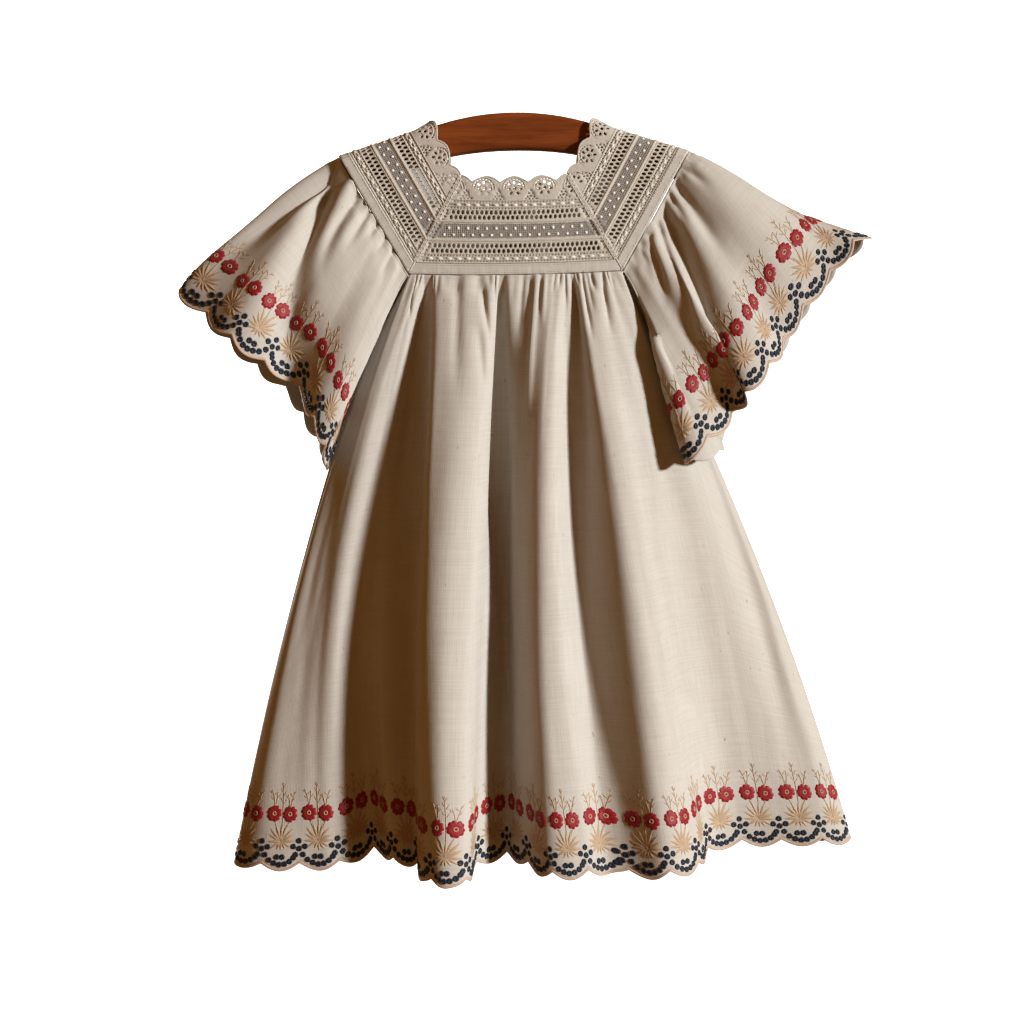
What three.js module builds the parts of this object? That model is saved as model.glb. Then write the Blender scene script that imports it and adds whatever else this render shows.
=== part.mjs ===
// A little girl's linen dress with a crochet lace yoke, hanging on a flat wooden hanger.
// Millimetres. +X is to the right as seen from the front, -Y is the front, +Z is up.
// The origin is the middle of the hanger's crest, where a hand, hook or peg holds it.
import * as THREE from "three";

// Cloth walls and the gaps between sewn pieces
const LINEN_WALL = 1.5;
const LACE_WALL = 1.4;
const HALF_SEAM = 0.15;
const MITRE_GAP = 0.2;

// Hanger: a flat bent board, with an arched crest and straight sloping arms
const HANG_TILT = THREE.MathUtils.degToRad(0.9);
const CREST_RADIUS = 190;
const ARM_SLOPE = 0.32;
const ARM_END_X = 132;
const BOARD_THICKNESS = 11;
const BOARD_BEVEL = 3;
const BOARD_HEIGHT_MIDDLE = 28;
const BOARD_HEIGHT_END = 22;
const BOARD_STEPS = 12;
const END_STEPS = 6;

// Yoke: widths are measured outwards from where the neck edging meets the lace
const EDGING_WIDTH = 22.5;
const LACE_WIDTH = 44;
const YOKE_WIDTH = 52;
const PANEL_EDGE_WIDTH = 52.6;
const NECK_HALF = 51;
const YOKE_HALF = 79;
const NECK_FORWARD = 18;
const YOKE_FORWARD = 24;
const NECK_DROP = 70.5;
const YOKE_DROP = 122;
const SHOULDER_INNER_X = 81;
const SHOULDER_OUTER_X = 131;
const SHOULDER_CLEARANCE = 1.85;
const SHOULDER_FOLD_RADIUS = 10;
const SHOULDER_FOLD_SHARE = 0.18;
const PANEL_SAG = 2;
const PANEL_BULGE = 3;
const EDGING_LIFT = 4;
const SCALLOP_DEPTH_NECK = 4.5;
const NECK_SCALLOPS_ACROSS = 3.9;
const NECK_SCALLOPS_SHOULDER = 5.2;
const COLUMNS_PER_NECK_SCALLOP = 6;

// Skirt panels and sleeves: the embroidered border repeats once for each scallop of the hem
const PANEL_REPEATS = 21;
const SLEEVE_REPEATS = 18;
const SLEEVE_SEAM_REPEATS = 3;
const PANEL_CORNER_LEFT = 2.5;
const PANEL_CORNER_RIGHT = 18.5;
const COLUMNS_PER_REPEAT = 4;
const HEM_SCALLOP_DEPTH = 6;
const PANEL_LENGTH = 450;
const SLEEVE_LENGTH = 163;
const SLEEVE_BULGE = 11;
const SLEEVE_GATHERS_PER_REPEAT = 2;
const GATHER_SLOPE = 0.2;
const GATHER_MOST = 1.8;
const GATHER_AT_SEAM = 0.4;
const GATHER_RISE = 0.05;
const GATHER_CORNER_RUN = 1.5;
const PANEL_GATHER_FADE = 0.12;
const SLEEVE_GATHER_FADE = 0.16;
const ARMPIT_OFFSET = 1.3;
const CORNER_OFFSET = 1.2;
const RAGLAN_TUCK = 1.3;
const RAGLAN_TUCK_SPAN = 0.06;
const SLEEVE_BULGE_START = 2;
const SLEEVE_BULGE_RUN = 3;
const SEAM_HOLLOW = 5;
const SEAM_HOLLOW_START = 0.8;
const SEAM_HOLLOW_END = 3.6;
const PANEL_LEVELS = [0, 0.03, 0.08, 0.17, 0.32, 0.5, 0.7, 0.88, 1];
const SLEEVE_LEVELS = [0, 0.06, 0.16, 0.34, 0.56, 0.78, 1];

// Where each side's body and sleeve seams meet under the arm
const UNDERARM = { left: new THREE.Vector3(-115, 0, -190), right: new THREE.Vector3(118, 0, -184) };

// Rows of numbers under named columns
function table(columns, rows) {
  const names = columns.split(" ");
  return rows.map((row) => Object.fromEntries(names.map((name, i) => [name, row[i]])));
}

// Front panel: "seam" runs 0 to 1 up the left raglan seam, 1 to 2 along the yoke, 2 to 3 down the right one
const FRONT_TOP = table("repeat seam", [
  [0, 0], [1, 0.42], [2, 0.8], [2.5, 1], [4, 1.05], [5.5, 1.1], [6.6, 1.15], [8, 1.37], [10, 1.445],
  [11, 1.545], [12, 1.655], [13, 1.705], [14, 1.745], [15.5, 1.81], [17, 1.91], [18.5, 2], [19.4, 2.36],
  [20.2, 2.69], [21, 3],
]);
const FRONT_MIDDLE = table("repeat x y", [
  [0, -168, 0], [1, -158, -12], [2, -143, -18], [3, -126, -24], [4, -108, -20], [5, -93, -24],
  [5.9, -72, -28], [6.6, -67, -58], [7, -60, -66], [7.5, -46, -69], [8, -30, -63], [9, -19, -42],
  [10, -6, -20], [11, 4, -38], [12, 16, -60], [13, 31, -60], [13.7, 48, -42], [15, 77, -64],
  [16, 93, -62], [17, 109, -48], [18, 132, -34], [19, 158, -24], [19.6, 173, -14], [20.2, 185, -12],
  [21, 195, 0],
]);
const FRONT_HEM = table("repeat x y z", [
  [0, -208, 0, -562], [0.3, -207, -9, -563], [1, -186, -25, -564], [2, -156.6, -32, -563],
  [3, -126.7, -32, -561], [4, -102, -18, -553], [5, -86.7, -42, -557], [5.9, -69, -44, -559],
  [6.6, -66, -66, -564], [7, -57.8, -78, -566], [7.5, -48, -84, -566], [8, -34, -80, -566],
  [9, -27, -52, -558], [10, -4.4, -30, -555], [11, 12, -52, -558], [12, 29, -74, -562],
  [13, 55, -72, -561], [13.7, 70, -64, -560], [14, 84.3, -66, -562], [15, 112.8, -76, -561],
  [16, 135, -56, -558], [17, 143.5, -26, -552], [18, 171, -10, -549], [19, 201, -8, -549],
  [20, 231.5, -10, -548], [21, 255, 0, -549],
]);

// Back panel, with the same seams and its own folds
const BACK_TOP = table("repeat seam", [
  [0, 0], [1, 0.42], [2, 0.8], [2.5, 1], [3.4, 1.06], [4.6, 1.13], [5.6, 1.18], [6.6, 1.24], [7.8, 1.3],
  [9, 1.38], [10, 1.45], [11, 1.51], [12, 1.57], [13.2, 1.64], [14.4, 1.72], [15.4, 1.79], [16.4, 1.86],
  [17.4, 1.93], [18.5, 2], [19.8, 2.55], [21, 3],
]);
const BACK_MIDDLE = table("repeat x y", [
  [0, -168, 0], [1, -157, 18], [2.2, -134, 28], [3.4, -104, 24], [4.6, -82, 40], [5.6, -62, 46],
  [6.6, -50, 28], [7.8, -31, 20], [9, -13, 34], [10, 6, 44], [11, 26, 46], [12, 38, 28], [13.2, 57, 20],
  [14.4, 77, 34], [15.4, 98, 44], [16.4, 115, 32], [17.4, 136, 18], [18.6, 160, 16], [19.8, 181, 12],
  [21, 195, 0],
]);
const BACK_HEM = table("repeat x y z", [
  [0, -208, 0, -562], [1, -192, 24, -562], [2.2, -158, 36, -560], [3.4, -124, 30, -559],
  [4.6, -98, 52, -558], [5.6, -70, 60, -558], [6.6, -58, 34, -556], [7.8, -32, 24, -555],
  [9, -8, 44, -556], [10, 20, 58, -557], [11, 48, 60, -557], [12, 62, 36, -555], [13.2, 88, 24, -554],
  [14.4, 112, 44, -554], [15.4, 138, 58, -554], [16.4, 160, 40, -552], [17.4, 182, 22, -550],
  [18.6, 212, 20, -549], [19.8, 240, 16, -549], [21, 255, 0, -549],
]);

// Sleeve hems, round from the underarm seam by way of the front
const LEFT_SLEEVE_HEM = table("repeat x y z", [
  [0, -144, 0, -258], [1, -137, -22, -264], [2.2, -137, -52, -267], [3, -138, -52, -256],
  [4, -147, -46, -237], [5, -163, -28, -211], [6, -186, -32, -193], [7, -210, -34, -174],
  [8, -230, -16, -156], [9, -253, 0, -138], [10, -238, 20, -152], [11, -222, 40, -170],
  [12, -200, 36, -190], [13, -178, 28, -208], [14, -166, 50, -226], [15, -154, 62, -246],
  [16, -146, 44, -262], [17, -142, 22, -268], [18, -144, 0, -258],
]);
const RIGHT_SLEEVE_HEM = table("repeat x y z", [
  [0, 158, 0, -248], [1, 153, -28, -257], [2.3, 130, -50, -264.4], [3, 143.6, -50, -250.7],
  [4, 163.4, -40, -230.6], [5, 169.2, -60, -217.9], [6, 188.9, -52, -196.5], [7, 200.7, -38, -177.9],
  [8, 216.1, -34, -153.4], [9, 236.7, -30, -126.9], [10, 256.8, -24, -101.5], [10.8, 270, 0, -94.5],
  [11.8, 256, 22, -108], [12.8, 238, 34, -130], [13.8, 222, 44, -154], [14.8, 206, 40, -180],
  [15.8, 188, 52, -202], [16.8, 168, 42, -226], [17.5, 160, 20, -242], [18, 158, 0, -248],
]);

// Finishes
const linen = () => new THREE.MeshStandardMaterial({ color: 0xc9bba6, roughness: 0.92, metalness: 0 });
const lace = () => new THREE.MeshStandardMaterial({ color: 0xe0d6c6, roughness: 0.95, metalness: 0 });
const wood = () => new THREE.MeshStandardMaterial({ color: 0x8a4a1c, roughness: 0.45, metalness: 0 });

// A smooth curve through a table's rows, read at any place along its "repeat" column
function curveThrough(rows, closed = false) {
  const last = rows.length - 1;
  function slope(column, i) {
    if (closed && (i === 0 || i === last)) {
      const rise = rows[1][column] - rows[last - 1][column];
      const run = rows[1].repeat - rows[0].repeat + rows[last].repeat - rows[last - 1].repeat;
      return rise / run;
    }
    const before = rows[Math.max(0, i - 1)];
    const after = rows[Math.min(last, i + 1)];
    return (after[column] - before[column]) / (after.repeat - before.repeat);
  }
  return (place, column) => {
    let i = 0;
    while (i < last - 1 && rows[i + 1].repeat <= place) i += 1;
    const span = rows[i + 1].repeat - rows[i].repeat;
    const u = (place - rows[i].repeat) / span;
    const bend = u * (1 - u) * span;
    const step = u * u * (3 - 2 * u);
    const start = rows[i][column] + bend * (1 - u) * slope(column, i);
    return start + step * (rows[i + 1][column] - rows[i][column]) - bend * u * slope(column, i + 1);
  };
}

// The height of the hanger's top edge at a distance from its middle
function hangerTop(x) {
  const out = Math.abs(x);
  const bendEnd = CREST_RADIUS * Math.sin(Math.atan(ARM_SLOPE));
  if (out <= bendEnd) return Math.sqrt(CREST_RADIUS ** 2 - out ** 2) - CREST_RADIUS;
  return Math.sqrt(CREST_RADIUS ** 2 - bendEnd ** 2) - CREST_RADIUS - ARM_SLOPE * (out - bendEnd);
}

// Yoke corners and shoulder line, at a width outwards from the neck edging's seam
const outwards = (near, far, width) => near + ((far - near) * width) / YOKE_WIDTH;
const cornerX = (width) => outwards(NECK_HALF, YOKE_HALF, width);
const cornerForward = (width) => outwards(NECK_FORWARD, YOKE_FORWARD, width);
const cornerZ = (width) => -outwards(NECK_DROP, YOKE_DROP, width);
const shoulderX = (width) => outwards(SHOULDER_INNER_X, SHOULDER_OUTER_X, width);
function shoulderZ(width) {
  const lift = EDGING_LIFT * (Math.min(0, width) / EDGING_WIDTH) ** 2;
  return hangerTop(shoulderX(width)) + SHOULDER_CLEARANCE + lift;
}

// Front or back of the yoke: across runs -1 to 1 from left to right, facing is -1 in front and 1 behind
function yokePanelPoint(width, across, facing) {
  const half = cornerX(width);
  const v = across * (1 - MITRE_GAP / half);
  const fullness = 1 - v * v;
  const forward = cornerForward(width) + PANEL_BULGE * fullness;
  return new THREE.Vector3(v * half, facing * forward, cornerZ(width) - PANEL_SAG * fullness);
}

// Shoulder of the yoke: over runs -1 to 1 from the front corner over the arm of the hanger to the back one
function yokeShoulderPoint(width, over, side) {
  const forward = cornerForward(width);
  const startX = cornerX(width);
  const startZ = cornerZ(width);
  const reachX = shoulderX(width) - startX;
  const reachZ = shoulderZ(width) - startZ;
  const height = Math.hypot(reachX, reachZ);
  const centre = height - SHOULDER_FOLD_RADIUS;
  const distance = Math.hypot(forward, centre);
  const lean = Math.atan2(centre, forward) + Math.asin(SHOULDER_FOLD_RADIUS / distance);
  const straight = Math.sqrt(distance ** 2 - SHOULDER_FOLD_RADIUS ** 2);
  const fromTop = Math.abs(over);
  const along = MITRE_GAP + ((straight - MITRE_GAP) * (1 - fromTop)) / (1 - SHOULDER_FOLD_SHARE);
  let inwards = -forward + Math.cos(lean) * along;
  let up = Math.sin(lean) * along;
  if (fromTop < SHOULDER_FOLD_SHARE) {
    const turn = (lean * fromTop) / SHOULDER_FOLD_SHARE;
    inwards = -SHOULDER_FOLD_RADIUS * Math.sin(turn);
    up = centre + SHOULDER_FOLD_RADIUS * Math.cos(turn);
  }
  const facing = over > 0 ? -1 : 1;
  return new THREE.Vector3(
    side * (startX + (reachX * up) / height),
    facing * inwards,
    startZ + (reachZ * up) / height,
  );
}

// The yoke and the hanger hang a little askew
const hang = (point) => point.applyAxisAngle(new THREE.Vector3(0, 1, 0), -HANG_TILT);

// How far a scalloped edge stands back from its tips, as a part of the scallops' depth
const scallopRise = (phase) => 1 - Math.abs(Math.sin(Math.PI * phase));

// How much of a gather shows at a level down the cloth
function gatherAt(level, fade) {
  const start = GATHER_AT_SEAM + (1 - GATHER_AT_SEAM) * Math.min(1, level / GATHER_RISE);
  return start * Math.exp(-level / fade);
}

// Gathers die away towards the yoke's corners
function gatherShare(repeat, first, last) {
  return Math.min(1, Math.max(0, Math.min(repeat - first, last - repeat) / GATHER_CORNER_RUN));
}

// Between the underarm and the yoke a sleeve lies over the skirt, so its seam edge lies just outside
function raglanTuck(climb) {
  return RAGLAN_TUCK * Math.min(1, climb / RAGLAN_TUCK_SPAN, (1 - climb) / RAGLAN_TUCK_SPAN);
}

// The sewn top edge of a skirt panel, from one underarm to the other by way of the yoke
function panelTop(seam, facing) {
  const near = PANEL_EDGE_WIDTH;
  const span = 1 - CORNER_OFFSET / YOKE_HALF;
  if (seam >= 1 && seam <= 2) return hang(yokePanelPoint(near, span * (2 * seam - 3), facing));
  const side = seam < 1 ? "left" : "right";
  const climb = seam < 1 ? seam : 3 - seam;
  const inward = seam < 1 ? 1 : -1;
  const corner = hang(yokePanelPoint(near, -inward * span, facing));
  const underarm = UNDERARM[side].clone();
  underarm.x += inward * ARMPIT_OFFSET;
  underarm.y = facing * HALF_SEAM;
  const point = underarm.lerp(corner, climb);
  point.y -= facing * raglanTuck(climb);
  return point;
}

// A point on a skirt panel's middle surface: repeat counts scallops from the left, level runs downwards
function panelSurface(tops, middles, hems, facing) {
  const topAt = curveThrough(tops);
  const middleAt = curveThrough(middles);
  const hemAt = curveThrough(hems);
  return (repeat, level) => {
    const top = panelTop(Math.min(3, Math.max(0, topAt(repeat, "seam"))), facing);
    const apart = facing * HALF_SEAM;
    const hem = new THREE.Vector3(hemAt(repeat, "x"), hemAt(repeat, "y") + apart, hemAt(repeat, "z"));
    const middleZ = (top.z + hem.z) / 2;
    const middle = new THREE.Vector3(middleAt(repeat, "x"), middleAt(repeat, "y") + apart, middleZ);
    const t = level * (1 - (HEM_SCALLOP_DEPTH / PANEL_LENGTH) * scallopRise(repeat));
    return top
      .multiplyScalar((1 - t) * (1 - 2 * t))
      .addScaledVector(middle, 4 * t * (1 - t))
      .addScaledVector(hem, t * (2 * t - 1));
  };
}

// The sewn top edge of a sleeve, up the front raglan seam, over the shoulder and down the back one
function sleeveTop(repeat, side) {
  const sign = side === "left" ? -1 : 1;
  const last = SLEEVE_REPEATS - SLEEVE_SEAM_REPEATS;
  if (repeat >= SLEEVE_SEAM_REPEATS && repeat <= last) {
    const over = (2 * (repeat - SLEEVE_SEAM_REPEATS)) / (last - SLEEVE_SEAM_REPEATS) - 1;
    return hang(yokeShoulderPoint(PANEL_EDGE_WIDTH, over, sign));
  }
  const inFront = repeat < SLEEVE_SEAM_REPEATS;
  const climb = (inFront ? repeat : SLEEVE_REPEATS - repeat) / SLEEVE_SEAM_REPEATS;
  const corner = hang(yokeShoulderPoint(PANEL_EDGE_WIDTH, inFront ? -1 : 1, sign));
  const underarm = UNDERARM[side].clone();
  underarm.x += sign * ARMPIT_OFFSET;
  const point = underarm.lerp(corner, climb);
  point.y += (inFront ? -1 : 1) * raglanTuck(climb);
  return point;
}

// Under the arm the sleeve's side towards the skirt hangs hollow, clear of it
function seamHollow(fromUnderarm, t) {
  const rise = Math.min(1, fromUnderarm / SEAM_HOLLOW_START);
  const run = SEAM_HOLLOW_END - SLEEVE_SEAM_REPEATS;
  const fade = Math.min(1, Math.max(0, (SEAM_HOLLOW_END - fromUnderarm) / run));
  return SEAM_HOLLOW * rise * fade * Math.sqrt(t) * (1 - t) * 2;
}

// A point on a sleeve's middle surface: repeat counts scallops round from the underarm seam
function sleeveSurface(hems, side) {
  const hemAt = curveThrough(hems, true);
  const step = 0.05;
  const sign = side === "left" ? 1 : -1;
  return (repeat, level) => {
    const top = sleeveTop(repeat, side);
    const hem = new THREE.Vector3(hemAt(repeat, "x"), hemAt(repeat, "y"), hemAt(repeat, "z"));
    const t = level * (1 - (HEM_SCALLOP_DEPTH / SLEEVE_LENGTH) * scallopRise(repeat));
    const ahead = sleeveTop(Math.min(SLEEVE_REPEATS, repeat + step), side);
    const behind = sleeveTop(Math.max(0, repeat - step), side);
    const fall = hem.clone().sub(top);
    const outward = ahead.sub(behind).cross(fall).normalize().multiplyScalar(sign);
    const fromUnderarm = Math.min(repeat, SLEEVE_REPEATS - repeat);
    const rise = Math.min(1, Math.max(0, (fromUnderarm - SLEEVE_BULGE_START) / SLEEVE_BULGE_RUN));
    const bulge = SLEEVE_BULGE * 4 * t * (1 - t) * rise - seamHollow(fromUnderarm, t);
    return top.addScaledVector(fall, t).addScaledVector(outward, bulge);
  };
}

// Points on a surface in rows down it and columns across it
function gridOn(levels, places, pointAt) {
  return levels.map((level) => places.map((place) => pointAt(level, place)));
}

// The outward direction at each point of a grid of points
function gridNormals(grid, closed) {
  const rows = grid.length;
  const columns = grid[0].length;
  return grid.map((row, i) => row.map((point, j) => {
    const left = closed ? (j + columns - 1) % columns : Math.max(0, j - 1);
    const right = closed ? (j + 1) % columns : Math.min(columns - 1, j + 1);
    const across = row[right].clone().sub(row[left]);
    const down = grid[Math.min(rows - 1, i + 1)][j].clone().sub(grid[Math.max(0, i - 1)][j]);
    return across.cross(down).normalize();
  }));
}

// Cloth pushed in and out along its own normals by its gathers
function gathered(grid, heights) {
  const normals = gridNormals(grid, false);
  return grid.map((row, i) => row.map((point, j) => {
    return point.clone().addScaledVector(normals[i][j], heights[i][j]);
  }));
}

// One closed wall of cloth round a grid of middle points, open as a sheet or closed as a tube
function clothWall(name, grid, wall, material, { closed = false, edge = null } = {}) {
  const rows = grid.length;
  const columns = grid[0].length;
  const normals = gridNormals(grid, closed);
  if (edge) {
    normals.forEach((row) => {
      row[0] = edge.first;
      row[columns - 1] = edge.last;
    });
  }
  const positions = [];
  for (const half of [wall / 2, -wall / 2]) {
    grid.forEach((row, i) => row.forEach((point, j) => {
      positions.push(...point.clone().addScaledVector(normals[i][j], half).toArray());
    }));
  }
  const outer = (i, j) => i * columns + (j % columns);
  const inner = (i, j) => rows * columns + outer(i, j);
  const faces = [];
  const quad = (a, b, c, d) => faces.push(a, b, c, a, c, d);
  const spans = closed ? columns : columns - 1;
  for (let j = 0; j < spans; j += 1) {
    for (let i = 0; i < rows - 1; i += 1) {
      quad(outer(i, j), outer(i, j + 1), outer(i + 1, j + 1), outer(i + 1, j));
      quad(inner(i, j), inner(i + 1, j), inner(i + 1, j + 1), inner(i, j + 1));
    }
    quad(outer(0, j + 1), outer(0, j), inner(0, j), inner(0, j + 1));
    quad(outer(rows - 1, j), outer(rows - 1, j + 1), inner(rows - 1, j + 1), inner(rows - 1, j));
  }
  if (!closed) {
    for (let i = 0; i < rows - 1; i += 1) {
      const end = columns - 1;
      quad(outer(i, 0), outer(i + 1, 0), inner(i + 1, 0), inner(i, 0));
      quad(outer(i + 1, end), outer(i, end), inner(i, end), inner(i + 1, end));
    }
  }
  const geometry = new THREE.BufferGeometry();
  geometry.setAttribute("position", new THREE.Float32BufferAttribute(positions, 3));
  geometry.setIndex(faces);
  geometry.computeVertexNormals();
  const mesh = new THREE.Mesh(geometry, material);
  mesh.name = name;
  return mesh;
}

// Evenly spaced numbers from one value to another
function spread(from, to, steps) {
  return Array.from({ length: steps + 1 }, (unused, i) => from + ((to - from) * i) / steps);
}

// Front or back of the skirt, gathered into the yoke and open at the hem
function makePanel({ name, tops, middles, hems, facing }) {
  const surface = panelSurface(tops, middles, hems, facing);
  const places = spread(0, PANEL_REPEATS, PANEL_REPEATS * COLUMNS_PER_REPEAT);
  const grid = gridOn(PANEL_LEVELS, places, (level, repeat) => surface(repeat, level));
  const topAt = curveThrough(tops);
  const yokeLength = 2 * YOKE_HALF;
  const heights = PANEL_LEVELS.map((level) => places.map((repeat) => {
    const share = gatherShare(repeat, PANEL_CORNER_LEFT, PANEL_CORNER_RIGHT);
    const pitch = yokeLength * (topAt(repeat + 0.5, "seam") - topAt(repeat - 0.5, "seam"));
    const swing = Math.min(GATHER_MOST, GATHER_SLOPE * pitch) * share;
    return swing * gatherAt(level, PANEL_GATHER_FADE) * Math.sin(2 * Math.PI * repeat);
  }));
  const edge = { first: new THREE.Vector3(-facing, 0, 0), last: new THREE.Vector3(facing, 0, 0) };
  return clothWall(name, gathered(grid, heights), LINEN_WALL, linen(), { edge });
}

// One flared sleeve, a tube from the yoke and raglan seams to its scalloped hem
function makeSleeve(name, hems, side) {
  const surface = sleeveSurface(hems, side);
  const last = SLEEVE_REPEATS - SLEEVE_SEAM_REPEATS;
  const seamColumns = SLEEVE_SEAM_REPEATS * COLUMNS_PER_REPEAT;
  const yokeColumns = (last - SLEEVE_SEAM_REPEATS) * COLUMNS_PER_REPEAT * SLEEVE_GATHERS_PER_REPEAT;
  const places = [
    ...spread(0, SLEEVE_SEAM_REPEATS, seamColumns).slice(0, -1),
    ...spread(SLEEVE_SEAM_REPEATS, last, yokeColumns).slice(0, -1),
    ...spread(last, SLEEVE_REPEATS, seamColumns).slice(0, -1),
  ];
  const grid = gridOn(SLEEVE_LEVELS, places, (level, repeat) => surface(repeat, level));
  const heights = SLEEVE_LEVELS.map((level) => places.map((repeat) => {
    const swing = GATHER_MOST * gatherShare(repeat, SLEEVE_SEAM_REPEATS, last);
    const wave = Math.sin(2 * Math.PI * SLEEVE_GATHERS_PER_REPEAT * repeat);
    return swing * gatherAt(level, SLEEVE_GATHER_FADE) * wave;
  }));
  return clothWall(name, gathered(grid, heights), LINEN_WALL, linen(), { closed: true });
}

// Places over the shoulder, close together where the yoke bends over the hanger's arm
const SHOULDER_PLACES = [
  ...spread(-1, -SHOULDER_FOLD_SHARE, 3).slice(0, -1),
  ...spread(-SHOULDER_FOLD_SHARE, SHOULDER_FOLD_SHARE, 6),
  ...spread(SHOULDER_FOLD_SHARE, 1, 3).slice(1),
];
const PANEL_PLACES = spread(-1, 1, 10);
const LACE_LEVELS = spread(HALF_SEAM, LACE_WIDTH - HALF_SEAM, 4);
const BAND_LEVELS = [LACE_WIDTH + HALF_SEAM, YOKE_WIDTH];
const EDGING_LEVELS = [0, 0.5, 1];

// The lace neck edging's width at a level from its scalloped tips to its seam
function edgingWidth(level, phase) {
  const tip = -EDGING_WIDTH + SCALLOP_DEPTH_NECK * scallopRise(phase);
  return tip + (-HALF_SEAM - tip) * level;
}

// The four sides of the yoke: where its points lie and how its neck scallops are spaced
const panelSide = { places: PANEL_PLACES, scallops: NECK_SCALLOPS_ACROSS, crest: 0.5 };
const shoulderSide = { places: SHOULDER_PLACES, scallops: NECK_SCALLOPS_SHOULDER, crest: 0 };
const yokeSides = [
  { name: "front", at: (width, across) => yokePanelPoint(width, across, -1), ...panelSide },
  { name: "back", at: (width, across) => yokePanelPoint(width, across, 1), ...panelSide },
  { name: "left", at: (width, over) => yokeShoulderPoint(width, over, -1), ...shoulderSide },
  { name: "right", at: (width, over) => yokeShoulderPoint(width, over, 1), ...shoulderSide },
];

// Neck edging, lace panel and linen band on one side of the yoke
function makeYokeSide({ name, at, places, scallops, crest }) {
  const lacePanel = clothWall(`yoke_lace_${name}`, gridOn(LACE_LEVELS, places, at), LACE_WALL, lace());
  const band = clothWall(`yoke_band_${name}`, gridOn(BAND_LEVELS, places, at), LINEN_WALL, linen());
  const edgingColumns = Math.round((scallops * COLUMNS_PER_NECK_SCALLOP) / 2) * 2;
  const edgingGrid = gridOn(EDGING_LEVELS, spread(-1, 1, edgingColumns), (level, v) => {
    return at(edgingWidth(level, crest + (scallops * v) / 2), v);
  });
  const edging = clothWall(`neck_edging_${name}`, edgingGrid, LACE_WALL, lace());
  return [edging, lacePanel, band];
}

// The hanger's outline seen from the front, with round ends, set in by its bevel
function hangerOutline() {
  const inset = BOARD_BEVEL;
  const endRadius = BOARD_HEIGHT_END / 2 - inset;
  const endX = ARM_END_X - BOARD_HEIGHT_END / 2;
  const height = (x) => outlineHeight(Math.abs(x) / endX);
  const top = spread(-endX, endX, 2 * BOARD_STEPS).map((x) => new THREE.Vector2(x, hangerTop(x) - inset));
  const bottom = top.map(({ x }) => new THREE.Vector2(x, hangerTop(x) - height(x) + inset)).reverse();
  const endAt = (sign) => spread(90, -90, END_STEPS).slice(1, -1).map((degrees) => {
    const turn = THREE.MathUtils.degToRad(degrees);
    const middle = hangerTop(endX) - BOARD_HEIGHT_END / 2;
    return new THREE.Vector2(sign * (endX + endRadius * Math.cos(turn)), middle + endRadius * Math.sin(turn));
  });
  return new THREE.Shape([...top, ...endAt(1), ...bottom, ...endAt(-1).reverse()]);
}

// The board narrows from its middle to its ends
function outlineHeight(part) {
  const ease = part * part * (3 - 2 * part);
  return BOARD_HEIGHT_MIDDLE + (BOARD_HEIGHT_END - BOARD_HEIGHT_MIDDLE) * ease;
}

function makeHanger() {
  const geometry = new THREE.ExtrudeGeometry(hangerOutline(), {
    depth: BOARD_THICKNESS - 2 * BOARD_BEVEL,
    bevelEnabled: true,
    bevelThickness: BOARD_BEVEL,
    bevelSize: BOARD_BEVEL,
    bevelSegments: 2,
  });
  geometry.translate(0, 0, BOARD_BEVEL - BOARD_THICKNESS / 2);
  const board = new THREE.Mesh(geometry, wood());
  board.name = "hanger";
  board.rotation.x = Math.PI / 2;
  return board;
}

const front = { name: "body_front", tops: FRONT_TOP, middles: FRONT_MIDDLE, hems: FRONT_HEM, facing: -1 };
const back = { name: "body_back", tops: BACK_TOP, middles: BACK_MIDDLE, hems: BACK_HEM, facing: 1 };

// The yoke lies on the hanger and shares its tilt
const hung = new THREE.Group();
hung.rotation.y = -HANG_TILT;
hung.add(makeHanger());
yokeSides.forEach((side) => hung.add(...makeYokeSide(side)));

const dress = new THREE.Group();
dress.name = "hanging_dress";
dress.add(hung);
dress.add(makePanel(front), makePanel(back));
dress.add(makeSleeve("sleeve_left", LEFT_SLEEVE_HEM, "left"));
dress.add(makeSleeve("sleeve_right", RIGHT_SLEEVE_HEM, "right"));

export default dress;
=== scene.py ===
"""Finishes for a child's linen dress with a crochet lace yoke, hanging on a wooden hanger.

Laid out as an add-on: one operator makes each group of like pieces, and the panel lists them.
Surfaces are worked out in millimetres and put into meshes in metres.
Cloth is measured along its hem in repeats of the border (one per scallop) and down from its top
seam in levels (0 at the seam, 1 at the tip of the hem's scallops).
The yoke is measured in widths outwards from the seam of its neck edging.
"""

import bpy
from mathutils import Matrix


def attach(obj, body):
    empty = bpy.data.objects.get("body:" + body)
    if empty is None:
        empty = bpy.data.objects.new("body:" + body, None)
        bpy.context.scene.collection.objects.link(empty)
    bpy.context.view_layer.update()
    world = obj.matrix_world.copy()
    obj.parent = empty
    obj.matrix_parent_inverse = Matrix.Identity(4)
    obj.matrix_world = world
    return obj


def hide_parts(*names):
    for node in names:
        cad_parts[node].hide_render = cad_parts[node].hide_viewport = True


bl_info = {
    "name": "Lace-Yoke Dress",
    "version": (1, 0, 0),
    "blender": (4, 5, 0),
    "location": "3D View > Sidebar > Dress",
    "description": "A child's linen dress with a crochet yoke and an embroidered hem, on a hanger",
    "category": "Object",
}

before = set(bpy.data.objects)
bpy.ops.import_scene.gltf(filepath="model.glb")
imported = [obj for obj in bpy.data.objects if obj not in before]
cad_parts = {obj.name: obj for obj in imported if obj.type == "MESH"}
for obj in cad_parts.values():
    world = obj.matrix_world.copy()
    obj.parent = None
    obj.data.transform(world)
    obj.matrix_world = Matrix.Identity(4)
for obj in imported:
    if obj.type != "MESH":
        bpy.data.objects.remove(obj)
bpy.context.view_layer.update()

import math

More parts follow.
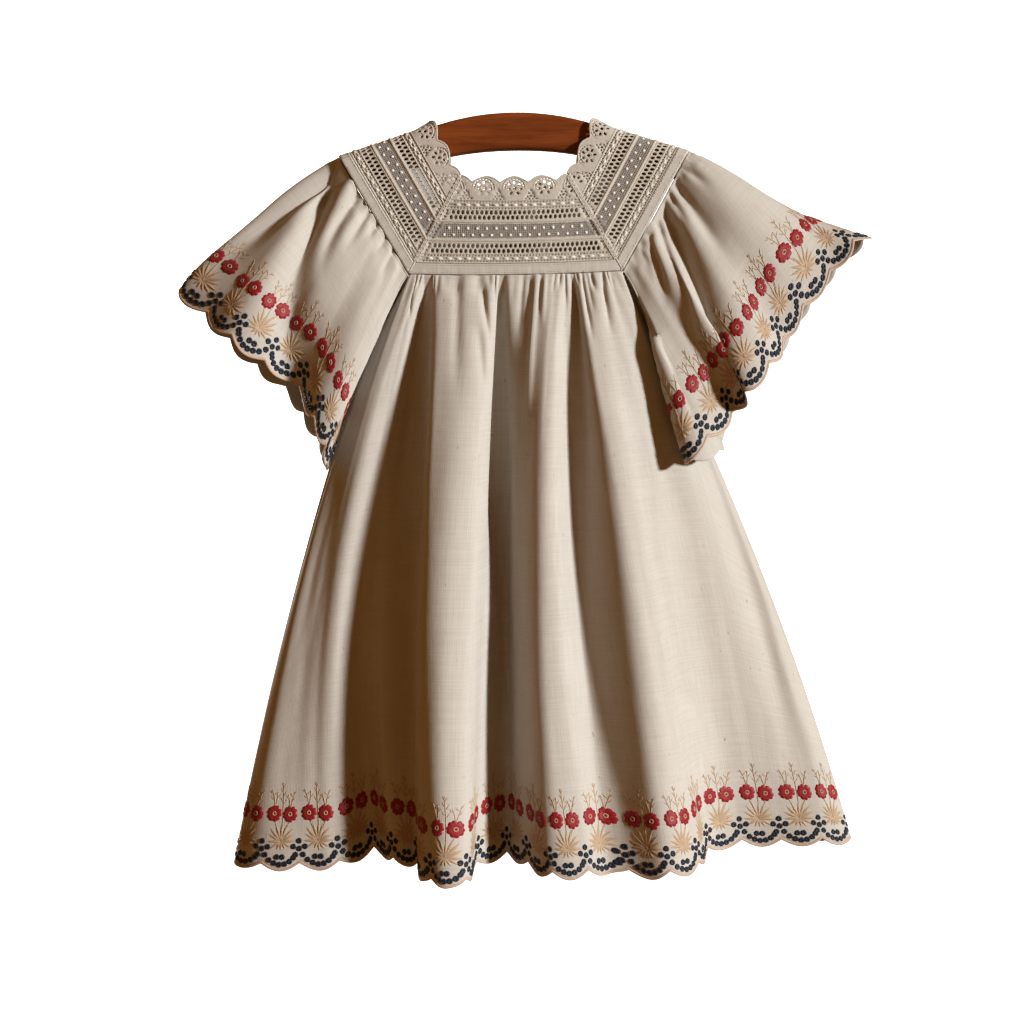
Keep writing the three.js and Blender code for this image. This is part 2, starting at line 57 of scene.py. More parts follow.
import bmesh
import bpy
import numpy as np
from bpy.props import FloatProperty, FloatVectorProperty, IntProperty, PointerProperty
from mathutils import Vector
from mathutils.geometry import delaunay_2d_cdt

MM = 0.001
BODY = "root"

# Gaps between sewn pieces, in millimetres
HALF_SEAM = 0.15
MITRE_GAP = 0.2

NOISE_CELLS = 64

# Hanger: a flat bent board, with an arched crest and straight sloping arms
HANG_TILT = math.radians(0.9)
CREST_RADIUS = 190
ARM_SLOPE = 0.32
ARM_END_X = 132
BOARD_THICKNESS = 11
BOARD_BEVEL = 3
BOARD_HEIGHT_MIDDLE = 28
BOARD_HEIGHT_END = 22

# Yoke: widths are measured outwards from where the neck edging meets the lace
EDGING_WIDTH = 22.5
LACE_WIDTH = 44
YOKE_WIDTH = 52
PANEL_EDGE_WIDTH = 52.6
NECK_HALF = 51
YOKE_HALF = 79
NECK_FORWARD = 18
YOKE_FORWARD = 24
NECK_DROP = 70.5
YOKE_DROP = 122
SHOULDER_INNER_X = 81
SHOULDER_OUTER_X = 131
SHOULDER_CLEARANCE = 1.85
SHOULDER_FOLD_RADIUS = 10
SHOULDER_FOLD_SHARE = 0.18
PANEL_SAG = 2
PANEL_BULGE = 3
EDGING_LIFT = 4
NECK_SCALLOP_DEPTH = 4.5
NECK_SCALLOPS_ACROSS = 3.9
NECK_SCALLOPS_SHOULDER = 5.2

# Skirt panels and sleeves
PANEL_REPEATS = 21
SLEEVE_REPEATS = 18
SLEEVE_SEAM_REPEATS = 3
PANEL_CORNERS = (2.5, 18.5)
REPEAT = 30
HEM_SCALLOP_DEPTH = 6
PANEL_LENGTH = 450
SLEEVE_LENGTH = 163
SLEEVE_BULGE = 11
SLEEVE_BULGE_START = 2
SLEEVE_BULGE_RUN = 3
SEAM_HOLLOW = 5
SEAM_HOLLOW_START = 0.8
SEAM_HOLLOW_END = 3.6
ARMPIT_OFFSET = 1.3
CORNER_OFFSET = 1.2
RAGLAN_TUCK = 1.3
RAGLAN_TUCK_SPAN = 0.06
SMALL_GATHERS = 25
PANEL_ROWS = 120
SLEEVE_ROWS = 64
UNDERARM = {"left": (-115, 0, -190), "right": (118, 0, -184)}


class FoldTable:
    """Rows of numbers under named columns, read as smooth curves along the first column."""

    def __init__(self, columns, rows, closed=False):
        data = np.array(rows, dtype=float).reshape(-1, len(columns.split()))
        self.places = data[:, 0]
        self.values = data[:, 1:]
        rise = np.empty_like(self.values)
        run = np.empty_like(self.places)
        rise[1:-1] = self.values[2:] - self.values[:-2]
        run[1:-1] = self.places[2:] - self.places[:-2]
        rise[0] = self.values[1] - self.values[0]
        run[0] = self.places[1] - self.places[0]
        rise[-1] = self.values[-1] - self.values[-2]
        run[-1] = self.places[-1] - self.places[-2]
        if closed:
            rise[0] = rise[-1] = rise[0] + rise[-1]
            run[0] = run[-1] = run[0] + run[-1]
        self.slopes = rise / run[:, None]

    def at(self, place):
        """The other columns' values at places in the first column."""
        place = np.asarray(place, dtype=float)
        i = np.clip(np.searchsorted(self.places, place, side="right") - 1, 0, len(self.places) - 2)
        span = self.places[i + 1] - self.places[i]
        u = ((place - self.places[i]) / span)[..., None]
        bend = u * (1 - u) * span[..., None]
        step = u * u * (3 - 2 * u)
        start = self.values[i] + bend * (1 - u) * self.slopes[i]
        return start + step * (self.values[i + 1] - self.values[i]) - bend * u * self.slopes[i + 1]


# Where each panel's top edge is sewn: 0 to 1 up the left raglan seam, 1 to 2 along the yoke, 2 to 3 down
FRONT_TOP = FoldTable("repeat seam", [
    (0, 0), (1, 0.42), (2, 0.8), (2.5, 1), (4, 1.05), (5.5, 1.1), (6.6, 1.15), (8, 1.37), (10, 1.445),
    (11, 1.545), (12, 1.655), (13, 1.705), (14, 1.745), (15.5, 1.81), (17, 1.91), (18.5, 2),
    (19.4, 2.36), (20.2, 2.69), (21, 3),
])
FRONT_MIDDLE = FoldTable("repeat x y", [
    (0, -168, 0), (1, -158, -12), (2, -143, -18), (3, -126, -24), (4, -108, -20), (5, -93, -24),
    (5.9, -72, -28), (6.6, -67, -58), (7, -60, -66), (7.5, -46, -69), (8, -30, -63), (9, -19, -42),
    (10, -6, -20), (11, 4, -38), (12, 16, -60), (13, 31, -60), (13.7, 48, -42), (15, 77, -64),
    (16, 93, -62), (17, 109, -48), (18, 132, -34), (19, 158, -24), (19.6, 173, -14), (20.2, 185, -12),
    (21, 195, 0),
])
FRONT_HEM = FoldTable("repeat x y z", [
    (0, -208, 0, -562), (0.3, -207, -9, -563), (1, -186, -25, -564), (2, -156.6, -32, -563),
    (3, -126.7, -32, -561), (4, -102, -18, -553), (5, -86.7, -42, -557), (5.9, -69, -44, -559),
    (6.6, -66, -66, -564), (7, -57.8, -78, -566), (7.5, -48, -84, -566), (8, -34, -80, -566),
    (9, -27, -52, -558), (10, -4.4, -30, -555), (11, 12, -52, -558), (12, 29, -74, -562),
    (13, 55, -72, -561), (13.7, 70, -64, -560), (14, 84.3, -66, -562), (15, 112.8, -76, -561),
    (16, 135, -56, -558), (17, 143.5, -26, -552), (18, 171, -10, -549), (19, 201, -8, -549),
    (20, 231.5, -10, -548), (21, 255, 0, -549),
])
BACK_TOP = FoldTable("repeat seam", [
    (0, 0), (1, 0.42), (2, 0.8), (2.5, 1), (3.4, 1.06), (4.6, 1.13), (5.6, 1.18), (6.6, 1.24),
    (7.8, 1.3), (9, 1.38), (10, 1.45), (11, 1.51), (12, 1.57), (13.2, 1.64), (14.4, 1.72), (15.4, 1.79),
    (16.4, 1.86), (17.4, 1.93), (18.5, 2), (19.8, 2.55), (21, 3),
])
BACK_MIDDLE = FoldTable("repeat x y", [
    (0, -168, 0), (1, -157, 18), (2.2, -134, 28), (3.4, -104, 24), (4.6, -82, 40), (5.6, -62, 46),
    (6.6, -50, 28), (7.8, -31, 20), (9, -13, 34), (10, 6, 44), (11, 26, 46), (12, 38, 28),
    (13.2, 57, 20), (14.4, 77, 34), (15.4, 98, 44), (16.4, 115, 32), (17.4, 136, 18), (18.6, 160, 16),
    (19.8, 181, 12), (21, 195, 0),
])
BACK_HEM = FoldTable("repeat x y z", [
    (0, -208, 0, -562), (1, -192, 24, -562), (2.2, -158, 36, -560), (3.4, -124, 30, -559),
    (4.6, -98, 52, -558), (5.6, -70, 60, -558), (6.6, -58, 34, -556), (7.8, -32, 24, -555),
    (9, -8, 44, -556), (10, 20, 58, -557), (11, 48, 60, -557), (12, 62, 36, -555), (13.2, 88, 24, -554),
    (14.4, 112, 44, -554), (15.4, 138, 58, -554), (16.4, 160, 40, -552), (17.4, 182, 22, -550),
    (18.6, 212, 20, -549), (19.8, 240, 16, -549), (21, 255, 0, -549),
])
SLEEVE_HEMS = {
    "left": FoldTable("repeat x y z", [
        (0, -144, 0, -258), (1, -137, -22, -264), (2.2, -137, -52, -267), (3, -138, -52, -256),
        (4, -147, -46, -237), (5, -163, -28, -211), (6, -186, -32, -193), (7, -210, -34, -174),
        (8, -230, -16, -156), (9, -253, 0, -138), (10, -238, 20, -152), (11, -222, 40, -170),
        (12, -200, 36, -190), (13, -178, 28, -208), (14, -166, 50, -226), (15, -154, 62, -246),
        (16, -146, 44, -262), (17, -142, 22, -268), (18, -144, 0, -258),
    ], closed=True),
    "right": FoldTable("repeat x y z", [
        (0, 158, 0, -248), (1, 153, -28, -257), (2.3, 130, -50, -264.4), (3, 143.6, -50, -250.7),
        (4, 163.4, -40, -230.6), (5, 169.2, -60, -217.9), (6, 188.9, -52, -196.5), (7, 200.7, -38, -177.9),
        (8, 216.1, -34, -153.4), (9, 236.7, -30, -126.9), (10, 256.8, -24, -101.5), (10.8, 270, 0, -94.5),
        (11.8, 256, 22, -108), (12.8, 238, 34, -130), (13.8, 222, 44, -154), (14.8, 206, 40, -180),
        (15.8, 188, 52, -202), (16.8, 168, 42, -226), (17.5, 160, 20, -242), (18, 158, 0, -248),
    ], closed=True),
}


def points(x, y, z):
    """Points from three arrays of any matching shapes."""
    return np.stack(np.broadcast_arrays(x, y, z), axis=-1).astype(float)


def unit(vectors):
    """Vectors drawn out or in to a length of 1."""
    return vectors / np.linalg.norm(vectors, axis=-1, keepdims=True)


def hung(p):
    """Points of the yoke or hanger, turned to hang a little askew."""
    cos, sin = math.cos(HANG_TILT), math.sin(HANG_TILT)
    return points(p[..., 0] * cos - p[..., 2] * sin, p[..., 1], p[..., 0] * sin + p[..., 2] * cos)


def hanger_top(x):
    """Height of the hanger's top edge at a distance from its middle."""
    out = np.abs(x)
    bend_end = CREST_RADIUS * math.sin(math.atan(ARM_SLOPE))
    arch = np.sqrt(CREST_RADIUS ** 2 - np.minimum(out, bend_end) ** 2) - CREST_RADIUS
    return arch - ARM_SLOPE * np.maximum(0, out - bend_end)


def outwards(near, far, width):
    """A yoke size at a width between its neck value and its outer edge's value."""
    return near + (far - near) * width / YOKE_WIDTH


def yoke_panel(width, across, facing):
    """Front (facing -1) or back (facing 1) of the yoke, with across from -1 at the left to 1."""
    half = outwards(NECK_HALF, YOKE_HALF, width)
    v = across * (1 - MITRE_GAP / half)
    fullness = 1 - v * v
    forward = outwards(NECK_FORWARD, YOKE_FORWARD, width) + PANEL_BULGE * fullness
    drop = outwards(NECK_DROP, YOKE_DROP, width) + PANEL_SAG * fullness
    return points(v * half, facing * forward, -drop)


def shoulder_span(width):
    """The shoulder's start and reach at a width, with its straight run, lean and height."""
    forward = outwards(NECK_FORWARD, YOKE_FORWARD, width)
    start_x = outwards(NECK_HALF, YOKE_HALF, width)
    start_z = -outwards(NECK_DROP, YOKE_DROP, width)
    top_x = outwards(SHOULDER_INNER_X, SHOULDER_OUTER_X, width)
    lift = EDGING_LIFT * (np.minimum(0, width) / EDGING_WIDTH) ** 2
    reach_x = top_x - start_x
    reach_z = hanger_top(top_x) + SHOULDER_CLEARANCE + lift - start_z
    height = np.hypot(reach_x, reach_z)
    centre = height - SHOULDER_FOLD_RADIUS
    distance = np.hypot(forward, centre)
    lean = np.arctan2(centre, forward) + np.arcsin(SHOULDER_FOLD_RADIUS / distance)
    straight = np.sqrt(distance ** 2 - SHOULDER_FOLD_RADIUS ** 2)
    return forward, start_x, start_z, reach_x, reach_z, height, centre, lean, straight


def yoke_shoulder(width, over, side):
    """Shoulder of the yoke, with over from -1 at the front corner to 1 at the back one."""
    width, over = np.broadcast_arrays(np.asarray(width, float), np.asarray(over, float))
    forward, start_x, start_z, reach_x, reach_z, height, centre, lean, straight = shoulder_span(width)
    from_top = np.abs(over)
    along = MITRE_GAP + (straight - MITRE_GAP) * (1 - from_top) / (1 - SHOULDER_FOLD_SHARE)
    turn = lean * from_top / SHOULDER_FOLD_SHARE
    on_fold = from_top < SHOULDER_FOLD_SHARE
    inwards = np.where(on_fold, -SHOULDER_FOLD_RADIUS * np.sin(turn), -forward + np.cos(lean) * along)
    up = np.where(on_fold, centre + SHOULDER_FOLD_RADIUS * np.cos(turn), np.sin(lean) * along)
    facing = np.where(over > 0, -1, 1)
    climb = up / height
    return points(side * (start_x + reach_x * climb), facing * inwards, start_z + reach_z * climb)


def scallop_rise(phase):
    """How far a scalloped edge stands back from its tips, as a part of the scallops' depth."""
    return 1 - np.abs(np.sin(np.pi * phase))


def raglan_tuck(climb):
    """How far a raglan seam's two edges lie apart, sleeve over skirt."""
    return RAGLAN_TUCK * np.minimum(1, np.minimum(climb, 1 - climb) / RAGLAN_TUCK_SPAN)


def panel_top(seam, facing):
    """The sewn top edge of a skirt panel, from underarm to underarm by way of the yoke."""
    span = 1 - CORNER_OFFSET / YOKE_HALF
    along = span * (2 * np.clip(seam, 1, 2) - 3)
    result = hung(yoke_panel(PANEL_EDGE_WIDTH, along, facing))
    for side, inward, climb, mask in (("left", 1, seam, seam < 1), ("right", -1, 3 - seam, seam > 2)):
        corner = hung(yoke_panel(PANEL_EDGE_WIDTH, np.float64(-inward * span), facing))
        under = np.array(UNDERARM[side], float)
        under[0] += inward * ARMPIT_OFFSET
        under[1] = facing * HALF_SEAM
        part = np.clip(climb, 0, 1)[..., None]
        seam_edge = under + (corner - under) * part
        seam_edge[..., 1] -= facing * raglan_tuck(np.clip(climb, 0, 1))
        result = np.where(mask[..., None], seam_edge, result)
    return result


def panel_surface(tables, facing):
    """The middle surface of a skirt panel as a function of repeat and level."""
    top_table, middle_table, hem_table = tables

    def at(repeat, level):
        repeat, level = np.broadcast_arrays(np.asarray(repeat, float), np.asarray(level, float))
        top = panel_top(np.clip(top_table.at(repeat)[..., 0], 0, 3), facing)
        hem = hem_table.at(repeat)
        hem[..., 1] += facing * HALF_SEAM
        flat = middle_table.at(repeat)
        middle = points(flat[..., 0], flat[..., 1] + facing * HALF_SEAM, (top[..., 2] + hem[..., 2]) / 2)
        t = level[..., None]
        return top * (1 - t) * (1 - 2 * t) + middle * 4 * t * (1 - t) + hem * t * (2 * t - 1)
    return at


def sleeve_top(repeat, side):
    """The sewn top edge of a sleeve, up the front raglan seam, over the shoulder and down."""
    sign = -1 if side == "left" else 1
    last = SLEEVE_REPEATS - SLEEVE_SEAM_REPEATS
    on_yoke = np.clip(repeat, SLEEVE_SEAM_REPEATS, last) - SLEEVE_SEAM_REPEATS
    over = 2 * on_yoke / (last - SLEEVE_SEAM_REPEATS) - 1
    result = hung(yoke_shoulder(PANEL_EDGE_WIDTH, over, sign))
    under = np.array(UNDERARM[side], float)
    under[0] += sign * ARMPIT_OFFSET
    ends = ((-1, repeat, repeat < SLEEVE_SEAM_REPEATS), (1, SLEEVE_REPEATS - repeat, repeat > last))
    for end, count, mask in ends:
        climb = np.clip(count / SLEEVE_SEAM_REPEATS, 0, 1)
        corner = hung(yoke_shoulder(PANEL_EDGE_WIDTH, np.float64(end), sign))
        seam_edge = under + (corner - under) * climb[..., None]
        seam_edge[..., 1] += end * raglan_tuck(climb)
        result = np.where(mask[..., None], seam_edge, result)
    return result


def seam_hollow(from_underarm, t):
    """Under the arm the sleeve's side towards the skirt hangs hollow, clear of it."""
    rise = np.minimum(1, from_underarm / SEAM_HOLLOW_START)
    fade = np.clip((SEAM_HOLLOW_END - from_underarm) / (SEAM_HOLLOW_END - SLEEVE_SEAM_REPEATS), 0, 1)
    return SEAM_HOLLOW * rise * fade * np.sqrt(np.maximum(t, 0)) * (1 - t) * 2


def sleeve_surface(side):
    """The middle surface of a sleeve as a function of repeat, round from the underarm, and level."""
    hem_table = SLEEVE_HEMS[side]
    sign = 1 if side == "left" else -1
    step = 0.05

    def at(repeat, level):
        repeat, t = np.broadcast_arrays(np.asarray(repeat, float), np.asarray(level, float))
        top = sleeve_top(repeat, side)
        fall = hem_table.at(repeat) - top
        ahead = sleeve_top(np.minimum(SLEEVE_REPEATS, repeat + step), side)
        behind = sleeve_top(np.maximum(0, repeat - step), side)
        outward = unit(np.cross(ahead - behind, fall)) * sign
        from_underarm = np.minimum(repeat, SLEEVE_REPEATS - repeat)
        rise = np.clip((from_underarm - SLEEVE_BULGE_START) / SLEEVE_BULGE_RUN, 0, 1)
        bulge = SLEEVE_BULGE * 4 * t * (1 - t) * rise - seam_hollow(from_underarm, t)
        return top + fall * t[..., None] + outward * bulge[..., None]
    return at


def grid_normals(grid, closed):
    """Unit normals of a grid of points in rows down and columns across a surface."""
    across = np.empty_like(grid)
    across[:, 1:-1] = grid[:, 2:] - grid[:, :-2]
    if closed:
        across[:, 0] = grid[:, 1] - grid[:, -2]
        across[:, -1] = across[:, 0]
    else:
        across[:, 0] = grid[:, 1] - grid[:, 0]
        across[:, -1] = grid[:, -1] - grid[:, -2]
    return unit(np.cross(across, np.gradient(grid, axis=0)))


def value_noise(seed, u, v):
    """Smooth noise from -1 to 1 over a plane, the same on every run."""
    lattice = np.random.default_rng(seed).uniform(-1, 1, (NOISE_CELLS, NOISE_CELLS))
    iu, iv = np.floor(u).astype(int), np.floor(v).astype(int)
    fu, fv = u - iu, v - iv
    fu, fv = fu * fu * (3 - 2 * fu), fv * fv * (3 - 2 * fv)
    corner = lambda a, b: lattice[(iu + a) % NOISE_CELLS, (iv + b) % NOISE_CELLS]
    low = corner(0, 0) * (1 - fu) + corner(1, 0) * fu
    high = corner(0, 1) * (1 - fu) + corner(1, 1) * fu
    return low * (1 - fv) + high * fv


class Cloth:
    """A panel or sleeve of cloth: its fine grid of points, and any place on it with a lift off it."""

    def __init__(self, surface, repeats, length, columns, rows, outward, closed, relief):
        self.closed = closed
        self.columns = np.linspace(0, repeats, columns + 1)
        u = np.linspace(0, 1, rows + 1)
        self.rows = 0.55 * u ** 1.5 + 0.45 * u
        edge = 1 - HEM_SCALLOP_DEPTH / length * scallop_rise(self.columns)
        self.levels = self.rows[:, None] * edge[None, :]
        self.edge = edge
        places = np.broadcast_to(self.columns, self.levels.shape)
        grid = surface(places, self.levels)
        lift = relief(places, self.levels)
        grid = grid + grid_normals(grid, closed) * outward * lift[..., None]
        if closed:
            grid[:, -1] = grid[:, 0]
        self.grid = grid
        self.normals = grid_normals(grid, closed) * outward
        steps = np.linalg.norm(np.diff(grid, axis=0), axis=-1)
        self.length = steps.sum(axis=0) / edge
        self.flat_length = length

    def at(self, along, height, lift):
        """Points at places along the hem, heights above its scallop tips and lifts off the cloth."""
        along, height, lift = np.broadcast_arrays(along, height, lift)
        repeat = along / REPEAT
        repeat = repeat % self.columns[-1] if self.closed else np.clip(repeat, 0, self.columns[-1])
        j = np.clip(repeat / self.columns[1], 0, len(self.columns) - 1.001)
        j0 = j.astype(int)
        fj = (j - j0)[..., None]
        mix = lambda values: values[j0] * (1 - fj[..., 0]) + values[j0 + 1] * fj[..., 0]
        level = (1 - height / mix(self.length)) / mix(self.edge)
        level = np.clip(level, 0, 1)
        i0 = np.clip(np.searchsorted(self.rows, level, side="right") - 1, 0, len(self.rows) - 2)
        fi = ((level - self.rows[i0]) / (self.rows[i0 + 1] - self.rows[i0]))[..., None]
        found = []
        for field in (self.grid, self.normals):
            low = field[i0, j0] * (1 - fj) + field[i0, j0 + 1] * fj
            high = field[i0 + 1, j0] * (1 - fj) + field[i0 + 1, j0 + 1] * fj
            found.append(low * (1 - fi) + high * fi)
        return found[0] + found[1] * lift[..., None]


def gather_fade(level, fade):
    """How much of a gather shows at a level down the cloth, after a short rise from the seam."""
    return (0.4 + 0.6 * np.minimum(1, level / 0.05)) * np.exp(-level / fade)


# Creases listed as start repeat, start level, end repeat, end level, bow sideways in repeats,
# depth in millimetres (a ridge if below 0) and width in repeats
PANEL_CREASES = (
    (5.1, 0, 5.6, 0.6, 0, 8, 0.7), (9.7, 0, 9.65, 0.6, 0, 16, 0.38), (14.5, 0, 13.85, 0.6, 0, 7, 0.42),
    (2.9, 0, 4.6, 0.1, 0, 1.6, 0.14), (6.75, 0, 6.75, 0.03, 0, 1.4, 0.1),
    (6.95, 0, 6.92, 0.035, 0, 1.4, 0.1), (7.12, 0, 7.42, 0.23, 0, 2.4, 0.11),
    (7.67, 0, 7.67, 0.045, 0, 2.2, 0.15), (7.8, 0.01, 8.45, 0.12, -0.1, 3, 0.12),
    (7.75, 0.08, 8.25, 0.22, 0, 1.8, 0.14), (9.67, 0, 10.2, 0.04, 0, 1.8, 0.12),
    (10.92, 0, 10.83, 0.12, 0, 2.4, 0.15), (11.25, 0, 11.08, 0.11, 0, 2.2, 0.12),
    (11.5, 0, 11.45, 0.3, 0, -2.6, 0.1), (11.82, 0, 11.92, 0.1, 0, -2, 0.12),
    (15.55, 0, 15.5, 0.13, 0, 3, 0.15), (16.17, 0, 16.33, 0.035, 0, 1.4, 0.1),
    (16.9, 0.01, 16.65, 0.12, 0, 2.4, 0.12), (18.08, 0, 17.92, 0.035, 0, 1.4, 0.1),
)
SLEEVE_CREASES = {
    "left": (
        (8.4, 0, 8.5, 0.95, 0, 16, 0.42), (7.5, 0, 7.6, 0.38, 0.2, 5, 0.2),
        (8.1, 0, 3.8, 1.5, 0, 15, 0.62), (6.6, 0, 5.8, 0.5, 0.2, 6, 0.22),
        (5.85, 0, 5.7, 0.28, 0, 3, 0.17), (5.25, 0, 5.25, 0.12, 0, 1.8, 0.12),
        (4.67, 0, 4.67, 0.14, 0, 1.8, 0.12), (4.08, 0, 4.08, 0.19, 0, 2, 0.12),
        (6.17, 0, 6.67, 0.08, 0, 1.5, 0.12),
    ),
    "right": (
        (7.58, 0, 8, 0.22, 0, 1.8, 0.12), (6.95, 0, 6.95, 0.55, 0, 5, 0.3),
        (6.5, 0, 6.42, 0.22, 0, 2.2, 0.15), (5.85, 0, 4, 1.3, 0.2, 13, 0.44),
        (5.4, 0, 4.2, 0.62, 0, 6, 0.24), (4.75, 0.02, 3.8, 0.36, 0, 3.4, 0.2),
        (4.08, 0.02, 4.08, 0.17, 0, 1.8, 0.14), (2.75, 0.2, 2.7, 0.42, 0, 2.5, 0.2),
        (2.9, 0.15, 2.4, 1.5, 0, -7, 0.6),
    ),
}


def mirrored(creases, repeats, share):
    """The same creases on the hidden side, a little off and less deep."""
    return tuple(
        (repeats - start + 0.3, top, repeats - end + 0.1, bottom * 0.9, bow, depth * share, width * 1.1)
        for start, top, end, bottom, bow, depth, width in creases)


def small_gathers(seed, count, first, last):
    """Short uneven creases along a gathered seam."""
    rng = np.random.default_rng(seed)
    spacing = (last - first) / count
    starts = np.linspace(first, last, count) + rng.uniform(-0.3, 0.3, count) * spacing
    drifts, lengths = rng.uniform(-0.15, 0.15, count), rng.uniform(0.025, 0.1, count)
    depths, widths = rng.uniform(0.7, 1.9, count), rng.uniform(0.13, 0.2, count)
    return tuple((start, 0, start + drift, length, 0, depth, width)
                 for start, drift, length, depth, width in zip(starts, drifts, lengths, depths, widths))


def crease_relief(creases, repeat, level):
    """Troughs and ridges along creases that swell below the seam and fade at their ends."""
    lift = np.zeros_like(level)
    for start, top, end, bottom, bow, depth, width in creases:
        share = (level - top) / (bottom - top)
        middle = start + (end - start) * share + bow * 4 * share * (1 - share)
        across = (repeat - middle) / (width * (0.8 + 0.6 * np.clip(share, 0, 1)))
        swell = np.clip(share / 0.2 + (0.45 if top == 0 else 0), 0, 1) * (share > -0.2)
        fade = np.clip((1 - share) / 0.6, 0, 1)
        lift -= depth * np.exp(-np.abs(across) ** 1.7) * swell * fade * fade * (3 - 2 * fade)
    return lift


def held_at_seam(lift, level):
    """A relief kept small where the cloth is sewn."""
    limit = 1.0 + level * 150
    return np.clip(lift, -limit, limit)


def panel_relief(seed, placed):
    """Gathers, creases and soft unevenness of a skirt panel, as millimetres off its surface."""
    first, last = PANEL_CORNERS
    rows = placed + small_gathers(seed, SMALL_GATHERS, first + 0.2, last - 0.2)

    def at(repeat, level):
        on_yoke = np.clip((repeat - first) * 4, 0, 1) * np.clip((last - repeat) * 4, 0, 1)
        wave = np.sin(2 * np.pi * repeat) * 0.5 * gather_fade(level, 0.1)
        lift = on_yoke * held_at_seam(wave + crease_relief(rows, repeat, level) + 0.5, level)
        inside = np.clip(repeat / 0.6, 0, 1) * np.clip((PANEL_REPEATS - repeat) / 0.6, 0, 1)
        long_folds = value_noise(seed + 1, repeat * 1.3, level * 1.6 + 7) * 1.3
        soft = value_noise(seed + 2, repeat * 2.7 + 11, level * 6) * 0.4
        hang = np.clip(level * 4, 0, 1) * inside
        return lift + (long_folds + soft) * hang
    return at


def sleeve_relief(seed, placed):
    """Gathers, folds and soft unevenness of a sleeve, as millimetres off its surface."""
    first, last = SLEEVE_SEAM_REPEATS, SLEEVE_REPEATS - SLEEVE_SEAM_REPEATS
    rows = placed + mirrored(placed, SLEEVE_REPEATS, 0.8)
    rows += small_gathers(seed, SMALL_GATHERS, first + 0.2, last - 0.2)

    def at(repeat, level):
        from_first = np.clip((repeat - first) * 4 + level * 6, 0, 1)
        on_yoke = from_first * np.clip((last - repeat) * 4 + level * 6, 0, 1)
        wave = np.sin(4 * np.pi * repeat) * 0.6 * gather_fade(level, 0.12)
        lift = on_yoke * held_at_seam(wave + crease_relief(rows, repeat, level) + 0.4, level)
        inside = np.clip(repeat, 0, 1) * np.clip(SLEEVE_REPEATS - repeat, 0, 1)
        soft = value_noise(seed + 2, repeat * 1.9 + 3, level * 3) * 0.8
        return lift + soft * np.clip(level * 3, 0, 1) * inside
    return at


def new_object(name, vertices, faces, materials, uvs=None, face_materials=None):
    """A mesh object from points in millimetres, with one UV in millimetres of flat cloth for each point."""
    mesh = bpy.data.meshes.new(name)
    mesh.from_pydata((np.asarray(vertices) * MM).tolist(), [], faces)
    for material in materials:
        mesh.materials.append(material)
    if face_materials is not None:
        mesh.polygons.foreach_set("material_index", np.asarray(face_materials, dtype=np.int32))
    if uvs is not None:
        layer = mesh.uv_layers.new(name="flat_cloth")
        corners = np.empty(len(mesh.loops), dtype=np.int32)
        mesh.loops.foreach_get("vertex_index", corners)
        layer.data.foreach_set("uv", (np.asarray(uvs)[corners] * MM).astype(np.float32).ravel())
    mesh.polygons.foreach_set("use_smooth", np.full(len(mesh.polygons), True))
    mesh.validate()
    mesh.update()
    piece = bpy.data.objects.new(name, mesh)
    bpy.context.scene.collection.objects.link(piece)
    return piece


def shell_mesh(grid, normals, thickness, closed):
    """Vertices and quads of a thin closed wall round a grid of middle points."""
    rows, columns = grid.shape[:2]
    if closed:
        columns -= 1
        grid, normals = grid[:, :-1], normals[:, :-1]
    half = normals * (thickness / 2)
    vertices = np.concatenate([(grid + half).reshape(-1, 3), (grid - half).reshape(-1, 3)])
    spans = columns if closed else columns - 1
    i, j = np.meshgrid(np.arange(rows - 1), np.arange(spans), indexing="ij")
    ahead = (j + 1) % columns
    a, b, c, d = i * columns + j, i * columns + ahead, (i + 1) * columns + ahead, (i + 1) * columns + j
    back = rows * columns
    outer = np.stack([a, b, c, d], axis=-1).reshape(-1, 4)
    inner = np.stack([a, d, c, b], axis=-1).reshape(-1, 4) + back
    k = np.arange(spans)
    k1 = (k + 1) % columns
    bottom = (rows - 1) * columns
    rims = [np.stack([k1, k, k + back, k1 + back], axis=-1),
            np.stack([bottom + k, bottom + k1, bottom + k1 + back, bottom + k + back], axis=-1)]
    if not closed:
        m = np.arange(rows - 1) * columns
        end = columns - 1
        rims.append(np.stack([m, m + columns, m + columns + back, m + back], axis=-1))
        rims.append(np.stack([m + columns + end, m + end, m + end + back, m + columns + end + back], axis=-1))
    return vertices, np.concatenate([outer, inner, *rims])


def ring_faces(rings, count):
    """Quads between rings of places that each close on themselves."""
    faces = []
    for ring in range(rings - 1):
        a, b = ring * count, (ring + 1) * count
        faces += [(a + i, a + (i + 1) % count, b + (i + 1) % count, b + i) for i in range(count)]
    return faces


